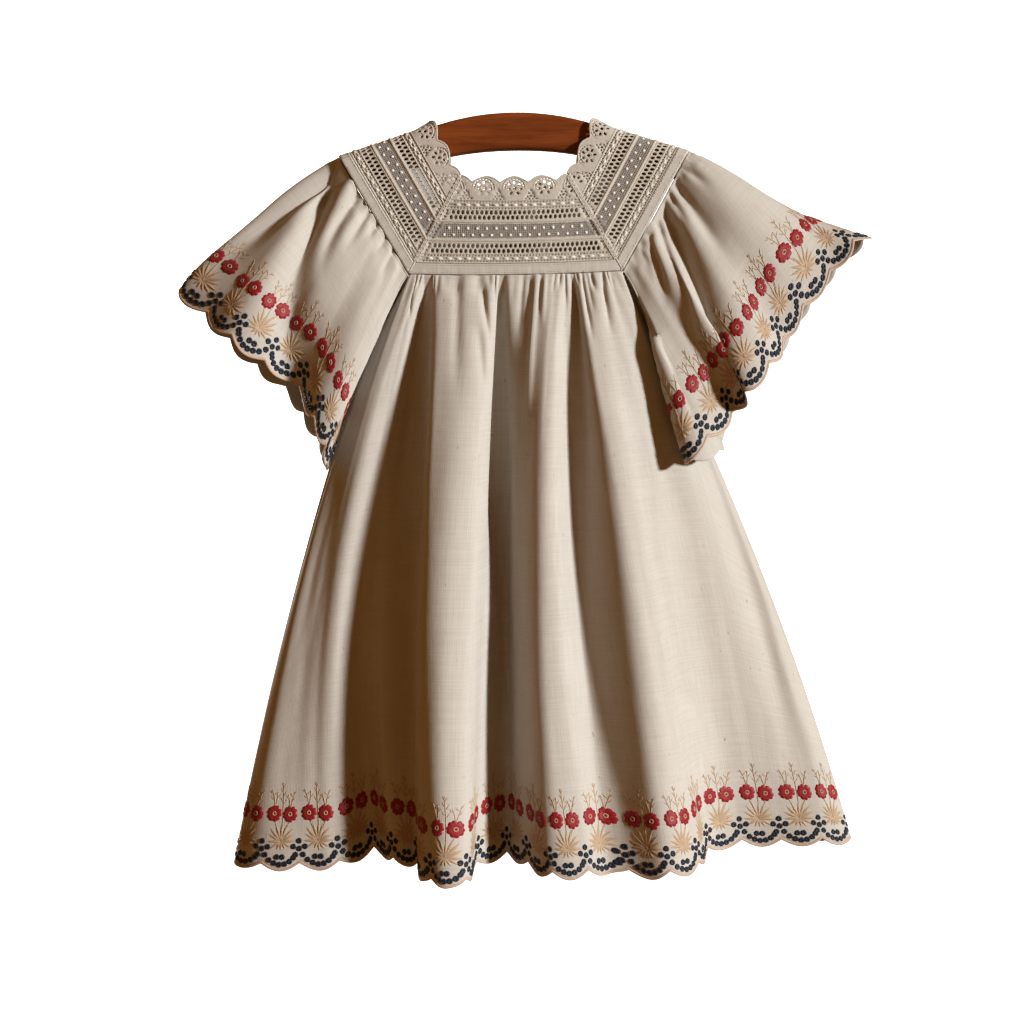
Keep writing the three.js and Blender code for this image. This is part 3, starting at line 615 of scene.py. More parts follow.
class YokeSide:
    """One side of the yoke: places on it by millimetres along from its middle and widths outwards."""

    def __init__(self, name, scallops, crest):
        self.name = name
        self.scallops = scallops
        self.crest = crest
        self.facing = {"front": -1, "back": 1}.get(name)
        self.side = {"left": -1, "right": 1}.get(name)
        self.outward = self.facing or -self.side

    def half(self, width):
        """Half of the side's length at a width."""
        if self.facing:
            return outwards(NECK_HALF, YOKE_HALF, width) - MITRE_GAP
        lean, straight = shoulder_span(width)[-2:]
        return straight - MITRE_GAP + SHOULDER_FOLD_RADIUS * lean

    def spot(self, along, width):
        """Points on the side's middle surface, before it hangs askew."""
        if self.facing:
            return yoke_panel(width, along / self.half(width), self.facing)
        lean, straight = shoulder_span(width)[-2:]
        fold = SHOULDER_FOLD_RADIUS * lean
        away = np.abs(along)
        past = (away - fold) / (straight - MITRE_GAP)
        on_fold = SHOULDER_FOLD_SHARE * away / fold
        over = np.where(away < fold, on_fold, SHOULDER_FOLD_SHARE + (1 - SHOULDER_FOLD_SHARE) * past)
        return yoke_shoulder(width, np.sign(along) * over, self.side)

    def place(self, flat, lift):
        """Points on the hanging yoke from flat ones, lifted off it."""
        along, width = flat[..., 0], flat[..., 1]
        step = 0.05
        across = self.spot(along + step, width) - self.spot(along - step, width)
        down = self.spot(along, width + step) - self.spot(along, width - step)
        normals = unit(np.cross(across, down)) * self.outward
        return hung(self.spot(along, width) + normals * np.asarray(lift)[..., None])

    def tip(self, v):
        """Width of the neck edging's scalloped tip at a share of the side's half length."""
        return -EDGING_WIDTH + NECK_SCALLOP_DEPTH * scallop_rise(self.crest + self.scallops * v / 2)


YOKE_SIDES = (
    YokeSide("front", NECK_SCALLOPS_ACROSS, 0.5), YokeSide("back", NECK_SCALLOPS_ACROSS, 0.5),
    YokeSide("left", NECK_SCALLOPS_SHOULDER, 0), YokeSide("right", NECK_SCALLOPS_SHOULDER, 0),
)

# Rows of even holes in the lace: their width, pitch, half sizes along and outwards, stagger, corners
# and how far their ends stay from the mitre
HOLE_ROWS = (
    (2.35, 2.35, 0.62, 0.42, 0.0, 6, 2.6),
    (5.5, 3.5, 1.12, 1.6, 0.0, 10, 4.6),
    (9.3, 3.5, 1.12, 1.6, 0.5, 10, 5.4),
    *((14.9 + 1.5 * row, 1.5, 0.46, 0.46, 0.0, 4, 6.0) for row in range(7)),
    (30.7, 3.5, 1.12, 1.6, 0.0, 10, 4.6),
    (34.6, 3.5, 1.12, 1.6, 0.5, 10, 5.2),
    (38.2, 2.35, 0.62, 0.42, 0.5, 6, 2.6),
    (42.2, 2.35, 0.62, 0.42, 0.0, 6, 2.6),
)
EDGING_HOLE_ROW = (-2.35, 2.35, 0.62, 0.42, 0.0, 6, 2.6)
NET_DOT_ROWS = ((17.5, 0.0), (22.5, 0.5))
BEAD_ROWS = (-0.1, 40.3)
BEAD_PITCH = 7
HOLE_GAP = 0.25
# Spacing of the lace's mesh between holes, and the width of the collar round a large hole
LACE_GRID = 2.6
HOLE_COLLAR = 0.4
BAND_THICKNESS = 1.3
LINING_THICKNESS = 0.4
LINING_LIFT = -1.05
MITRE_ROPE_SIDES = 8
# The fine net's middle and half its width, where the lace colour is darkened as painted shade of the dark
# inside seen through the net
NET_MIDDLE = 19.6
NET_HALF = 5.6
# Raised bars, as width, half breadth and height
BARS = ((12.5, 1.05, 0.85), (26.7, 1.15, 0.85))
THIN_CORDS = (-3.7, -1.3, 1.1, 3.5, 28.5, 36.9, 39.2, 41.4, 43.5)
MEDALLION_DEPTH = 9.6
# A medallion's petal holes, as turns in degrees, distance from its middle and half sizes
PETAL_TURNS = (-90, -38, -142, 8, 172, 55, 125)
PETAL_DISTANCE = 4.5
PETAL_REACHES = (1.35, 0.85)
# Tiny holes in an arch round it, as the arch's half sizes and the holes' reach
ARCH_REACHES = (7.4, 6.9)
ARCH_HOLE_REACH = 0.4
# Raised lines in arches on either side of them
ARCH_LINES = (6.2, 8.4)
CLUSTER_DEPTH = 15.6
# Holes of a small cluster, as place along, depth and half size
CLUSTER = (
    (0, 0, 0.8), (-2.3, 0.6, 0.62), (2.3, 0.6, 0.62), (-1.4, -2.1, 0.6), (1.4, -2.1, 0.6),
    (-1.3, 2.2, 0.55), (1.3, 2.2, 0.55), (0, -4.2, 0.5), (-3.9, 2.1, 0.45), (3.9, 2.1, 0.45),
)


def oval(along, width, reach_along, reach_width, corners, turn=0.0):
    """Corners of an oval round a place, anticlockwise."""
    angles = np.arange(corners) * 2 * np.pi / corners + (np.pi / corners if corners == 4 else 0)
    a, w = reach_along * np.cos(angles), reach_width * np.sin(angles)
    cos, sin = math.cos(turn), math.sin(turn)
    return np.stack([along + a * cos - w * sin, width + a * sin + w * cos], axis=-1)


def hole_row(side, width, pitch, reach_along, reach_width, stagger, corners, margin):
    """Evenly spaced holes along a side of the yoke."""
    reach = side.half(width) - margin
    count = int(reach / pitch)
    places = (np.arange(-count, count + 1) + stagger) * pitch
    return [oval(along, width, reach_along, reach_width, corners)
            for along in places if abs(along) + reach_along < reach]


def near_dot(hole):
    """Whether a hole of the net would lie under one of the white dots."""
    along, width = hole.mean(axis=0)
    for row, shift in NET_DOT_ROWS:
        from_dot = abs((along / BEAD_PITCH - shift + 0.5) % 1 - 0.5) * BEAD_PITCH
        if abs(width - row) < 1.3 and from_dot < 1.2:
            return True
    return False


def mitre_holes(side, rng):
    """Small uneven holes where the rows of the lace end at a mitre."""
    holes = []
    for end in (-1, 1):
        for width in np.arange(4.5, 37, 2.3):
            along = end * (side.half(width) - 3.4 + rng.uniform(-0.4, 0.4))
            reaches = rng.uniform(0.3, 0.55), rng.uniform(0.45, 0.8)
            holes.append(oval(along, width, *reaches, 6, rng.uniform(-0.6, 0.6)))
    return holes


def apart(holes):
    """The holes that keep a gap from every earlier one."""
    kept, centres, reaches = [], np.empty((0, 2)), np.empty(0)
    for hole in holes:
        centre = hole.mean(axis=0)
        reach = np.linalg.norm(hole - centre, axis=1).max()
        if np.all(np.linalg.norm(centres - centre, axis=1) > reaches + reach + HOLE_GAP):
            kept.append(hole)
            centres, reaches = np.vstack([centres, centre]), np.append(reaches, reach)
    return kept


def lace_holes(side):
    """Every hole in one side's lace panel."""
    rng = np.random.default_rng(5)
    holes = [hole for row in HOLE_ROWS for hole in hole_row(side, *row)]
    return apart([hole for hole in holes if not near_dot(hole)] + mitre_holes(side, rng))


def crest_places(side, offset):
    """Shares of the half length where the neck scallops have their crests (0.5) or cusps (0)."""
    steps = np.arange(-6, 7) + offset - side.crest
    return [2 * step / side.scallops for step in steps if abs(2 * step / side.scallops) < 1.1]


def edging_holes(side):
    """Flower eyelets, small clusters between them and a rim of tiny holes in the neck edging."""
    holes = hole_row(side, *EDGING_HOLE_ROW)
    for v in crest_places(side, 0.5):
        width = -EDGING_WIDTH + MEDALLION_DEPTH
        centre = v * side.half(width)
        holes.append(oval(centre, width, 1.15, 1.15, 10))
        for degrees in PETAL_TURNS:
            angle = math.radians(degrees)
            along = centre + PETAL_DISTANCE * math.cos(angle)
            out = width + PETAL_DISTANCE * math.sin(angle)
            holes.append(oval(along, out, *PETAL_REACHES, 8, angle))
        for degrees in np.linspace(-162, -18, 9):
            angle = math.radians(degrees)
            along = centre + ARCH_REACHES[0] * math.cos(angle)
            out = width + ARCH_REACHES[1] * math.sin(angle)
            holes.append(oval(along, out, ARCH_HOLE_REACH, ARCH_HOLE_REACH, 6))
    for v in crest_places(side, 0):
        width = -EDGING_WIDTH + CLUSTER_DEPTH
        centre = v * side.half(width)
        for along, down, size in CLUSTER:
            holes.append(oval(centre + along, width + down, size, size, 7))
    return apart([hole for hole in holes if np.all(np.abs(hole[:, 0]) < side.half(hole[:, 1]) - 1.5)])


def inside(polygon, spots):
    """Which places lie inside a closed outline."""
    x, y = spots[:, 0][:, None], spots[:, 1][:, None]
    x0, y0 = polygon[:, 0], polygon[:, 1]
    x1, y1 = np.roll(x0, -1), np.roll(y0, -1)
    crosses = (y0 > y) != (y1 > y)
    run = np.where(y1 == y0, 1, y1 - y0)
    return (crosses & (x < (x1 - x0) * (y - y0) / run + x0)).sum(axis=1) % 2 == 1


def from_edge(polygon, spots):
    """How far places lie from the nearest edge of a closed outline."""
    start, run = polygon[None], (np.roll(polygon, -1, axis=0) - polygon)[None]
    reach = spots[:, None] - start
    share = np.clip((reach * run).sum(-1) / (run * run).sum(-1), 0, 1)
    return np.linalg.norm(reach - run * share[..., None], axis=-1).min(axis=1)


def pierced_sheet(outline, holes):
    """A flat sheet with holes, as places, triangles, and loops of places round its outline and holes."""
    loops = [outline, *holes]
    centres = np.array([hole.mean(axis=0) for hole in holes])
    reaches = np.array([np.linalg.norm(hole - hole.mean(axis=0), axis=1).max() for hole in holes])
    extra = []
    for hole, centre, reach in zip(holes, centres, reaches):
        if reach > 1:
            extra.append(centre + (hole - centre) * (1 + HOLE_COLLAR / reach))
    low, high = outline.min(axis=0), outline.max(axis=0)
    along, out = (np.arange(low[axis], high[axis], LACE_GRID) for axis in (0, 1))
    grid = np.stack(np.meshgrid(along, out), -1).reshape(-1, 2)
    grid = grid[inside(outline, grid) & (from_edge(outline, grid) > 0.7)]
    clearances = np.linalg.norm(grid[:, None] - centres[None], axis=-1) - reaches
    extra.append(grid[clearances.min(axis=1) > 0.6])
    points_in = np.concatenate(loops + extra)
    edges, owner, start = [], np.full(len(points_in), -1), 0
    for number, loop in enumerate(loops):
        count = len(loop)
        edges += [(start + i, start + (i + 1) % count) for i in range(count)]
        owner[start:start + count] = number
        start += count
    made = delaunay_2d_cdt([Vector(p) for p in points_in.tolist()], edges, [], 1, 1e-5, True)
    flat = np.array([tuple(v) for v in made[0]])
    owners = np.array([min((owner[i] for i in ids if owner[i] >= 0), default=-1) for ids in made[3]])
    renamed = {i: new for new, ids in enumerate(made[3]) for i in ids}
    faces = np.array(made[2])
    in_hole = (owners[faces] == owners[faces[:, :1]]).all(axis=1) & (owners[faces[:, 0]] > 0)
    faces = faces[~in_hole & inside(outline, flat[faces].mean(axis=1))]
    faces = [tuple(face) for face in faces.tolist()]
    rims, start = [], 0
    for loop in loops:
        rims.append([renamed[start + i] for i in range(len(loop))])
        start += len(loop)
    return flat, faces, rims, owners


def pierced_lace(name, side, outline, holes, thickness, material):
    """A piece of lace with real holes and thinned edges, and its flat area in square millimetres."""
    flat, faces, rims, owners = pierced_sheet(outline, holes)
    half = np.where(owners >= 0, 0.3, 0.5) * thickness
    count = len(flat)
    vertices = np.concatenate([side.place(flat, half), side.place(flat, -half)])
    front = [face if side.outward > 0 else face[::-1] for face in faces]
    back = [tuple(i + count for i in face[::-1]) for face in front]
    walls = []
    for number, rim in enumerate(rims):
        for i, j in zip(rim, rim[1:] + rim[:1]):
            wall = (i, i + count, j + count, j)
            walls.append(wall if (number == 0) == (side.outward > 0) else wall[::-1])
    piece = new_object(name, vertices, front + back + walls, [material], np.concatenate([flat, flat]))
    corners = flat[np.array(faces)]
    first, second = corners[:, 1] - corners[:, 0], corners[:, 2] - corners[:, 0]
    area = np.abs(first[:, 0] * second[:, 1] - first[:, 1] * second[:, 0]).sum() / 2
    return piece, float(area)


class Relief:
    """Cords, beads and stitches gathered into one mesh, first flat and then laid on a surface."""

    def __init__(self):
        self.places = []
        self.faces = []
        self.kinds = []
        self.count = 0

    def add(self, places, faces, kinds):
        """Places along, outwards and off the surface, with faces that number them from 0."""
        self.places.append(np.asarray(places, float))
        self.faces += [tuple(i + self.count for i in face) for face in faces]
        self.kinds += kinds
        self.count += len(places)

    def cord(self, path, reach, height, base=0.3, kind=0, segments=5):
        """A half-round cord along a flat path."""
        path = np.asarray(path, float)
        ahead = unit(np.gradient(path, axis=0))
        aside = np.stack([-ahead[:, 1], ahead[:, 0]], axis=-1)
        angles = np.linspace(0, np.pi, segments + 1)
        spots = path[:, None] + aside[:, None] * (np.cos(angles) * reach)[None, :, None]
        lifts = np.broadcast_to(base + np.sin(angles) * height, spots.shape[:2])
        places = np.concatenate([spots, lifts[..., None]], axis=-1).reshape(-1, 3)
        row = segments + 1
        faces = [(i * row + k, i * row + k + 1, (i + 1) * row + k + 1, (i + 1) * row + k)
                 for i in range(len(path) - 1) for k in range(segments)]
        self.add(places, faces, [kind] * len(faces))

    def dome(self, outline, height, base=0.3, kind=0, rings=((1.0, 0.0), (0.72, 0.75)), peak=1.0):
        """A pad over a flat outline, through rings of shares of its reach and height to its peak."""
        outline = np.asarray(outline, float)
        centre = outline.mean(axis=0)
        count = len(outline)
        places = []
        for share, rise in rings:
            lifts = np.full(count, base + height * rise)
            places.append(np.column_stack([centre + (outline - centre) * share, lifts]))
        places.append(np.array([[*centre, base + height * peak]]))
        faces = ring_faces(len(rings), count)
        last, top = (len(rings) - 1) * count, len(rings) * count
        faces += [(last + i, last + (i + 1) % count, top) for i in range(count)]
        self.add(np.concatenate(places), faces, [kind] * len(faces))

    def all_places(self):
        """Every place in the mesh, along, outwards and off the surface."""
        return np.concatenate(self.places)


def row_path(side, width, step=2.0):
    """A flat path along a side of the yoke at one width."""
    reach = side.half(width)
    along = np.linspace(-reach, reach, int(2 * reach / step) + 1)
    return np.column_stack([along, np.full(len(along), width)])


# The material of beads on the lace, after plain thread: a lighter copy of the cotton, as painted highlight
BEAD_PAINTED_HIGHLIGHT = 1


def lace_relief(side):
    """Bars, cords, beads, net dots, mitre ridges and the edging's raised lines on one side of the yoke."""
    relief = Relief()
    for width, reach, height in BARS:
        relief.cord(row_path(side, width), reach, height)
    for width in THIN_CORDS:
        relief.cord(row_path(side, width), 0.42, 0.5)
    for width in BEAD_ROWS:
        for hole in hole_row(side, width, BEAD_PITCH, 2.3, 1.25, 0.0, 12, 2.0):
            relief.dome(hole, 0.95, kind=BEAD_PAINTED_HIGHLIGHT)
    for width, stagger in NET_DOT_ROWS:
        for dot in hole_row(side, width, BEAD_PITCH, 1.15, 1.15, stagger, 9, 4.0):
            relief.dome(dot, 0.75, kind=BEAD_PAINTED_HIGHLIGHT)
    rng = np.random.default_rng(9)
    for end in (-1, 1):
        widths = np.arange(-EDGING_WIDTH + 3, 43.8, 1.6)
        seam = np.column_stack([end * (side.half(widths) - 1.1), widths])
        relief.cord(seam, 0.75, 0.7)
        for along, width in seam[1::2]:
            relief.dome(oval(along, width, 0.95, 1.2, 8, rng.uniform(-0.5, 0.5)), 1.05)
    for v in crest_places(side, 0.5):
        width = -EDGING_WIDTH + MEDALLION_DEPTH
        centre = v * side.half(width)
        for reach in ARCH_LINES:
            angles = np.radians(np.linspace(-188, 8, 22))
            arc = np.column_stack([centre + reach * np.cos(angles), width + (reach - 0.4) * np.sin(angles)])
            keep = np.abs(arc[:, 0]) < side.half(arc[:, 1]) - 0.8
            if keep.sum() > 4:
                relief.cord(arc[keep], 0.42, 0.45)
        petals = oval(centre, width, 2.5, 2.5, 16)
        if np.all(np.abs(petals[:, 0]) < side.half(petals[:, 1]) - 1):
            relief.cord(np.vstack([petals, petals[:1]]), 0.4, 0.4)
    edge = edge_path(side, 0.7)
    relief.cord(edge, 0.7, 0.65, base=0.1)
    return relief


def edge_path(side, inset):
    """A flat path along the scalloped neck edge."""
    v = np.linspace(-1, 1, 2 * int(side.scallops * 9) + 1)
    tips = side.tip(v)
    return np.column_stack([v * (side.half(tips) - inset * 0.5), tips + inset])


def edging_outline(side):
    """The neck edging's flat outline, anticlockwise from the left end of its scalloped edge."""
    scallops = edge_path(side, 0.0)
    base = row_path(side, -HALF_SEAM, 3.0)[::-1]
    return np.vstack([scallops, base])


def lace_outline(side):
    """The lace panel's flat outline, anticlockwise."""
    near, far = HALF_SEAM, LACE_WIDTH - HALF_SEAM
    return np.vstack([row_path(side, near, 3.0), row_path(side, far, 3.0)[::-1]])


def finish_piece(piece, nodes):
    """Fixes a piece to the frame in place of the nodes that it stands for."""
    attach(piece, BODY)
    if nodes:
        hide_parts(*nodes)


# Shader expressions
class Shade:
    """A shader socket that can be added to, multiplied and so on, each adding its node."""

    def __init__(self, tree, socket):
        self.tree = tree
        self.socket = socket

    def _math(self, operation, *values):
        return self.tree.node("ShaderNodeMath", {"operation": operation}, dict(enumerate(values)))

    def __add__(self, other):
        return self._math("ADD", self, other)

    def __sub__(self, other):
        return self._math("SUBTRACT", self, other)

    def __mul__(self, other):
        return self._math("MULTIPLY", self, other)

    def __rsub__(self, other):
        return self._math("SUBTRACT", other, self)

    __radd__ = __add__
    __rmul__ = __mul__

    def clamped(self):
        return self.tree.node("ShaderNodeMath", {"operation": "ADD", "use_clamp": True}, {0: self, 1: 0.0})


class Finish:
    """A material under construction. One method adds every node."""

    def __init__(self, name):
        self.material = bpy.data.materials.new(name)
        self.material.use_nodes = True
        self.nodes = self.material.node_tree.nodes
        self.links = self.material.node_tree.links
        self.nodes.clear()

    def node(self, kind, settings=None, values=None, output=0):
        """Adds a node, sets it up, and fills or links its sockets."""
        made = self.nodes.new(kind)
        for name, value in (settings or {}).items():
            if name == "stops":
                ramp = made.color_ramp
                while len(ramp.elements) < len(value):
                    ramp.elements.new(1.0)
                for element, (position, colour) in zip(ramp.elements, value):
                    element.position = position
                    element.color = (*colour, 1.0)
            else:
                setattr(made, name, value)
        for key, value in (values or {}).items():
            self.feed(made.inputs[key], value)
        return None if output is None else Shade(self, made.outputs[output])

    def feed(self, socket, value):
        """Links or fills one socket."""
        if isinstance(value, Shade):
            self.links.new(value.socket, socket)
        elif isinstance(value, (tuple, list)) and len(value) == 3 and len(socket.default_value) == 4:
            socket.default_value = (*value, 1.0)
        else:
            socket.default_value = value

    def mix(self, factor, first, second, blend="MIX"):
        """One colour over another by a factor."""
        settings = {"data_type": "RGBA", "blend_type": blend}
        return self.node("ShaderNodeMix", settings, {0: factor, 6: first, 7: second}, output=2)

    def noise(self, where, scale, detail=3.0, roughness=0.55):
        values = {"Vector": where, "Scale": scale, "Detail": detail, "Roughness": roughness}
        return self.node("ShaderNodeTexNoise", {}, values)

    def stretched(self, where, scale):
        """Places scaled by three numbers."""
        return self.node("ShaderNodeMapping", {}, {"Vector": where, "Scale": scale})

    def ramp(self, factor, stops):
        return self.node("ShaderNodeValToRGB", {"stops": stops}, {"Fac": factor})

    def bump(self, height, strength, distance, normal=None):
        values = {"Height": height, "Strength": strength, "Distance": distance}
        if normal is not None:
            values["Normal"] = normal
        return self.node("ShaderNodeBump", {}, values)

    def flat_cloth(self):
        """Places on the flat cloth, in metres."""
        return self.node("ShaderNodeUVMap", {"uv_map": "flat_cloth"})

    def space(self):
        return self.node("ShaderNodeTexCoord", {}, {}, output="Object")

    def surface(self, sockets):
        shader = self.node("ShaderNodeBsdfPrincipled", {}, sockets)
        self.node("ShaderNodeOutputMaterial", {}, {"Surface": shader}, output=None)
        return self.material


def grey(level):
    return (level, level, level)


# Finishes
def linen_finish(colours):
    """Washed plain-weave linen with slubs, faint streaks and specks."""
    f = Finish("washed_linen")
    cloth = f.flat_cloth()
    warp = f.noise(f.stretched(cloth, (900.0, 30.0, 1.0)), 1.0, 3.0)
    weft = f.noise(f.stretched(cloth, (25.0, 800.0, 1.0)), 1.0, 3.0)
    cloud = f.noise(cloth, 22.0, 4.0)
    flecks = f.noise(f.stretched(cloth, (330.0, 120.0, 1.0)), 1.0, 2.0)
    streaks = ((warp + weft) * 0.5 - 0.36) * 3.2
    colour = f.mix(streaks.clamped(), tuple(colours.linen_shade), tuple(colours.linen))
    colour = f.mix(((cloud - 0.5) * 2.2).clamped() * 0.5, colour, tuple(colours.linen_light))
    fleck = f.ramp(flecks, [(0.0, grey(0)), (0.7, grey(0)), (0.76, grey(1))])
    colour = f.mix(fleck * 0.6, colour, tuple(colours.fleck))
    threads = f.node("ShaderNodeTexWave", {"wave_type": "BANDS", "bands_direction": "X"},
                     {"Vector": cloth, "Scale": 220.0, "Distortion": 0.6, "Detail": 1.0})
    picks = f.node("ShaderNodeTexWave", {"wave_type": "BANDS", "bands_direction": "Y"},
                   {"Vector": cloth, "Scale": 220.0, "Distortion": 0.6, "Detail": 1.0})
    weave = (threads + picks) * 0.35 + (warp + weft) * 0.9
    crumple = f.noise(cloth, 75.0, 4.0)
    fine = f.bump(weave, 0.25, 0.0003)
    normal = f.bump(crumple, 0.22, 0.0012, fine)
    return f.surface({
        "Base Color": colour, "Roughness": 0.9 + (cloud - 0.5) * 0.1, "Normal": normal,
        "Sheen Weight": 0.1, "Sheen Roughness": 0.6, "Specular IOR Level": 0.15,
    })


def lace_finish(name, colour, shade, net):
    """Crochet cotton, painted darker in the fine net along the middle of the yoke as painted shade of the
    dark inside seen through it.
    """
    f = Finish(name)
    where = f.space()
    twist = f.noise(where, 1400.0, 2.0)
    cloud = f.noise(where, 60.0, 3.0)
    colour = f.mix((cloud * 1.3 - 0.15).clamped(), tuple(shade), tuple(colour))
    # Painted shade: a band over the fine net mixes in the darker net colour, for the dark inside seen through
    # the net
    width = f.node("ShaderNodeSeparateXYZ", {}, {"Vector": f.flat_cloth()}, output="Y")
    from_middle = f.node("ShaderNodeMath", {"operation": "ABSOLUTE"}, {0: width - NET_MIDDLE * MM})
    colour = f.mix(((NET_HALF * MM - from_middle) * 2500).clamped() * 0.8, colour, tuple(net))
    return f.surface({
        "Base Color": colour, "Roughness": 0.85 + (cloud - 0.5) * 0.12, "Normal": f.bump(twist, 0.7, 0.0004),
        "Sheen Weight": 0.2, "Specular IOR Level": 0.25,
    })


def thread_finish(name, colour, shade):
    """Satin-stitched embroidery cotton in one colour."""
    f = Finish(name)
    cloth = f.flat_cloth()
    strands = f.noise(f.stretched(cloth, (500.0, 1600.0, 1.0)), 1.0, 2.0)
    cloud = f.noise(cloth, 240.0, 2.0)
    mixed = f.mix((strands * 1.4 - 0.2).clamped(), tuple(shade), tuple(colour))
    return f.surface({
        "Base Color": mixed, "Roughness": 0.55 + (cloud - 0.5) * 0.2, "Normal": f.bump(strands, 0.8, 0.0003),
        "Sheen Weight": 0.15, "Specular IOR Level": 0.35,
    })


def wood_finish(colours):
    """Oiled warm brown wood with long grain."""
    f = Finish("oiled_wood")
    where = f.space()
    bent = f.stretched(where, (9.0, 70.0, 95.0))
    grain = f.noise(bent, 1.0, 6.0, 0.62)
    pores = f.noise(f.stretched(where, (60.0, 900.0, 1100.0)), 1.0, 2.0)
    tones = (colours.wood_dark, colours.wood, colours.wood_light)
    colour = f.ramp(grain, [(place, tuple(tone)) for place, tone in zip((0.28, 0.5, 0.72), tones)])
    pore = f.ramp(pores, [(0.0, grey(0.55)), (0.42, grey(0.8)), (0.5, grey(1.0))])
    colour = f.mix(0.7, colour, pore, "MULTIPLY")
    return f.surface({
        "Base Color": colour, "Roughness": 0.38 + (grain - 0.5) * 0.25, "Normal": f.bump(pores, 0.25, 0.0003),
        "Coat Weight": 0.15, "Coat Roughness": 0.3, "Specular IOR Level": 0.4,
    })


def studio_finish(name, colour):
    """Plain pale studio paper that shines white by itself."""
    f = Finish(name)
    cloud = f.noise(f.space(), 2.0, 2.0)
    mixed = f.mix(cloud * 0.1, tuple(colour), grey(0.86))
    return f.surface({
        "Base Color": mixed, "Roughness": 0.95, "Specular IOR Level": 0.1,
        "Emission Color": (1.0, 1.0, 1.0), "Emission Strength": 1.0,
    })


def colour_property(name, description, default):
    return FloatVectorProperty(
        name=name, description=description, default=default, size=3, min=0.0, max=1.0, subtype="COLOR")


class DressColours(bpy.types.PropertyGroup):
    """Colours of the dress and its hanger."""
    linen: colour_property("Linen", "Main colour of the linen", (0.49, 0.462, 0.424))
    linen_light: colour_property("Linen, lighter", "Lighter clouding of the linen", (0.535, 0.508, 0.472))
    linen_shade: colour_property("Linen, darker", "Darker threads of the linen", (0.42, 0.388, 0.342))
    fleck: colour_property("Flecks", "Small brown specks in the linen", (0.22, 0.15, 0.09))
    lace: colour_property("Lace", "Crochet cotton", (0.5, 0.465, 0.415))
    lace_shade: colour_property("Lace, darker", "Crochet cotton between its ridges", (0.4, 0.36, 0.305))
    # Painted shade: the net colour stands for the dark inside of the dress seen through the open net
    net_painted_shade: colour_property("Lace net", "Fine net, with the dark inside behind it", (0.22, 0.2, 0.185))
    # Painted highlight: the raised beads and net dots are a lighter copy of the crochet cotton, for the light
    # they catch
    bead_painted_highlight: colour_property("Lace beads", "Raised crochet dots and bars", (0.72, 0.68, 0.61))
    red: colour_property("Red thread", "Flowers of the border", (0.33, 0.006, 0.012))
    navy: colour_property("Navy thread", "Eyelets of the border", (0.008, 0.014, 0.032))
    tan: colour_property("Tan thread", "Leaves and sprigs of the border", (0.46, 0.355, 0.265))
    edge: colour_property("Edge thread", "Stitched edge of the scallops", (0.52, 0.39, 0.31))
    wood: colour_property("Wood", "Main colour of the hanger", (0.19, 0.045, 0.007))
    wood_light: colour_property("Wood, lighter", "Lighter grain of the hanger", (0.26, 0.07, 0.012))
    wood_dark: colour_property("Wood, darker", "Darker grain of the hanger", (0.1, 0.022, 0.004))
    floor: colour_property("Floor", "Studio floor and wall", (0.84, 0.9, 0.94))


class DressSizes(bpy.types.PropertyGroup):
    """Sizes of the dress's fine detail."""
    linen_thickness: FloatProperty(
        name="Linen thickness", description="Thickness of the linen", default=0.6 * MM, min=0.0002,
        max=0.0015, unit="LENGTH")
    lace_thickness: FloatProperty(
        name="Lace thickness", description="Thickness of the crochet lace", default=1.0 * MM, min=0.0004,
        max=0.0014, unit="LENGTH")
    columns_per_repeat: IntProperty(
        name="Columns per repeat", description="Mesh columns in one repeat of the border", default=12,
        min=4, max=16)


class DressStage(bpy.types.PropertyGroup):
    """Camera and light."""
    distance: FloatProperty(
        name="Camera distance", description="From the middle of the dress to the camera", default=1.5,
        unit="LENGTH")
    lens: FloatProperty(name="Lens", description="Focal length in millimetres", default=70.3, unit="CAMERA")
    key: FloatProperty(name="Key light", description="Strength of the low light from the right", default=5.25)
    back: FloatProperty(name="Back light", description="Strength of the soft light from behind", default=3.6)
    fill: FloatProperty(name="Fill light", description="Strength of the light from all round", default=0.26)


def mm(length):
    """A property's length in millimetres."""
    return length / MM


def cloth_pieces():
    """The four shaped pieces of linen, by the name of the solid that each stands for."""
    per_repeat = bpy.context.scene.dress_sizes.columns_per_repeat
    front = panel_surface((FRONT_TOP, FRONT_MIDDLE, FRONT_HEM), -1)
    back = panel_surface((BACK_TOP, BACK_MIDDLE, BACK_HEM), 1)
    left, right = sleeve_surface("left"), sleeve_surface("right")
    back_creases = mirrored(PANEL_CREASES, PANEL_REPEATS, 0.85)
    panel = (PANEL_REPEATS, PANEL_LENGTH, PANEL_REPEATS * per_repeat, PANEL_ROWS)
    sleeve = (SLEEVE_REPEATS, SLEEVE_LENGTH, SLEEVE_REPEATS * per_repeat, SLEEVE_ROWS)
    return {
        "body_front": Cloth(front, *panel, -1, False, panel_relief(11, PANEL_CREASES)),
        "body_back": Cloth(back, *panel, 1, False, panel_relief(31, back_creases)),
        "sleeve_left": Cloth(left, *sleeve, 1, True, sleeve_relief(51, SLEEVE_CREASES["left"])),
        "sleeve_right": Cloth(right, *sleeve, -1, True, sleeve_relief(71, SLEEVE_CREASES["right"])),
    }


# The shaped pieces of linen, once the skirt is made
CLOTH = {}


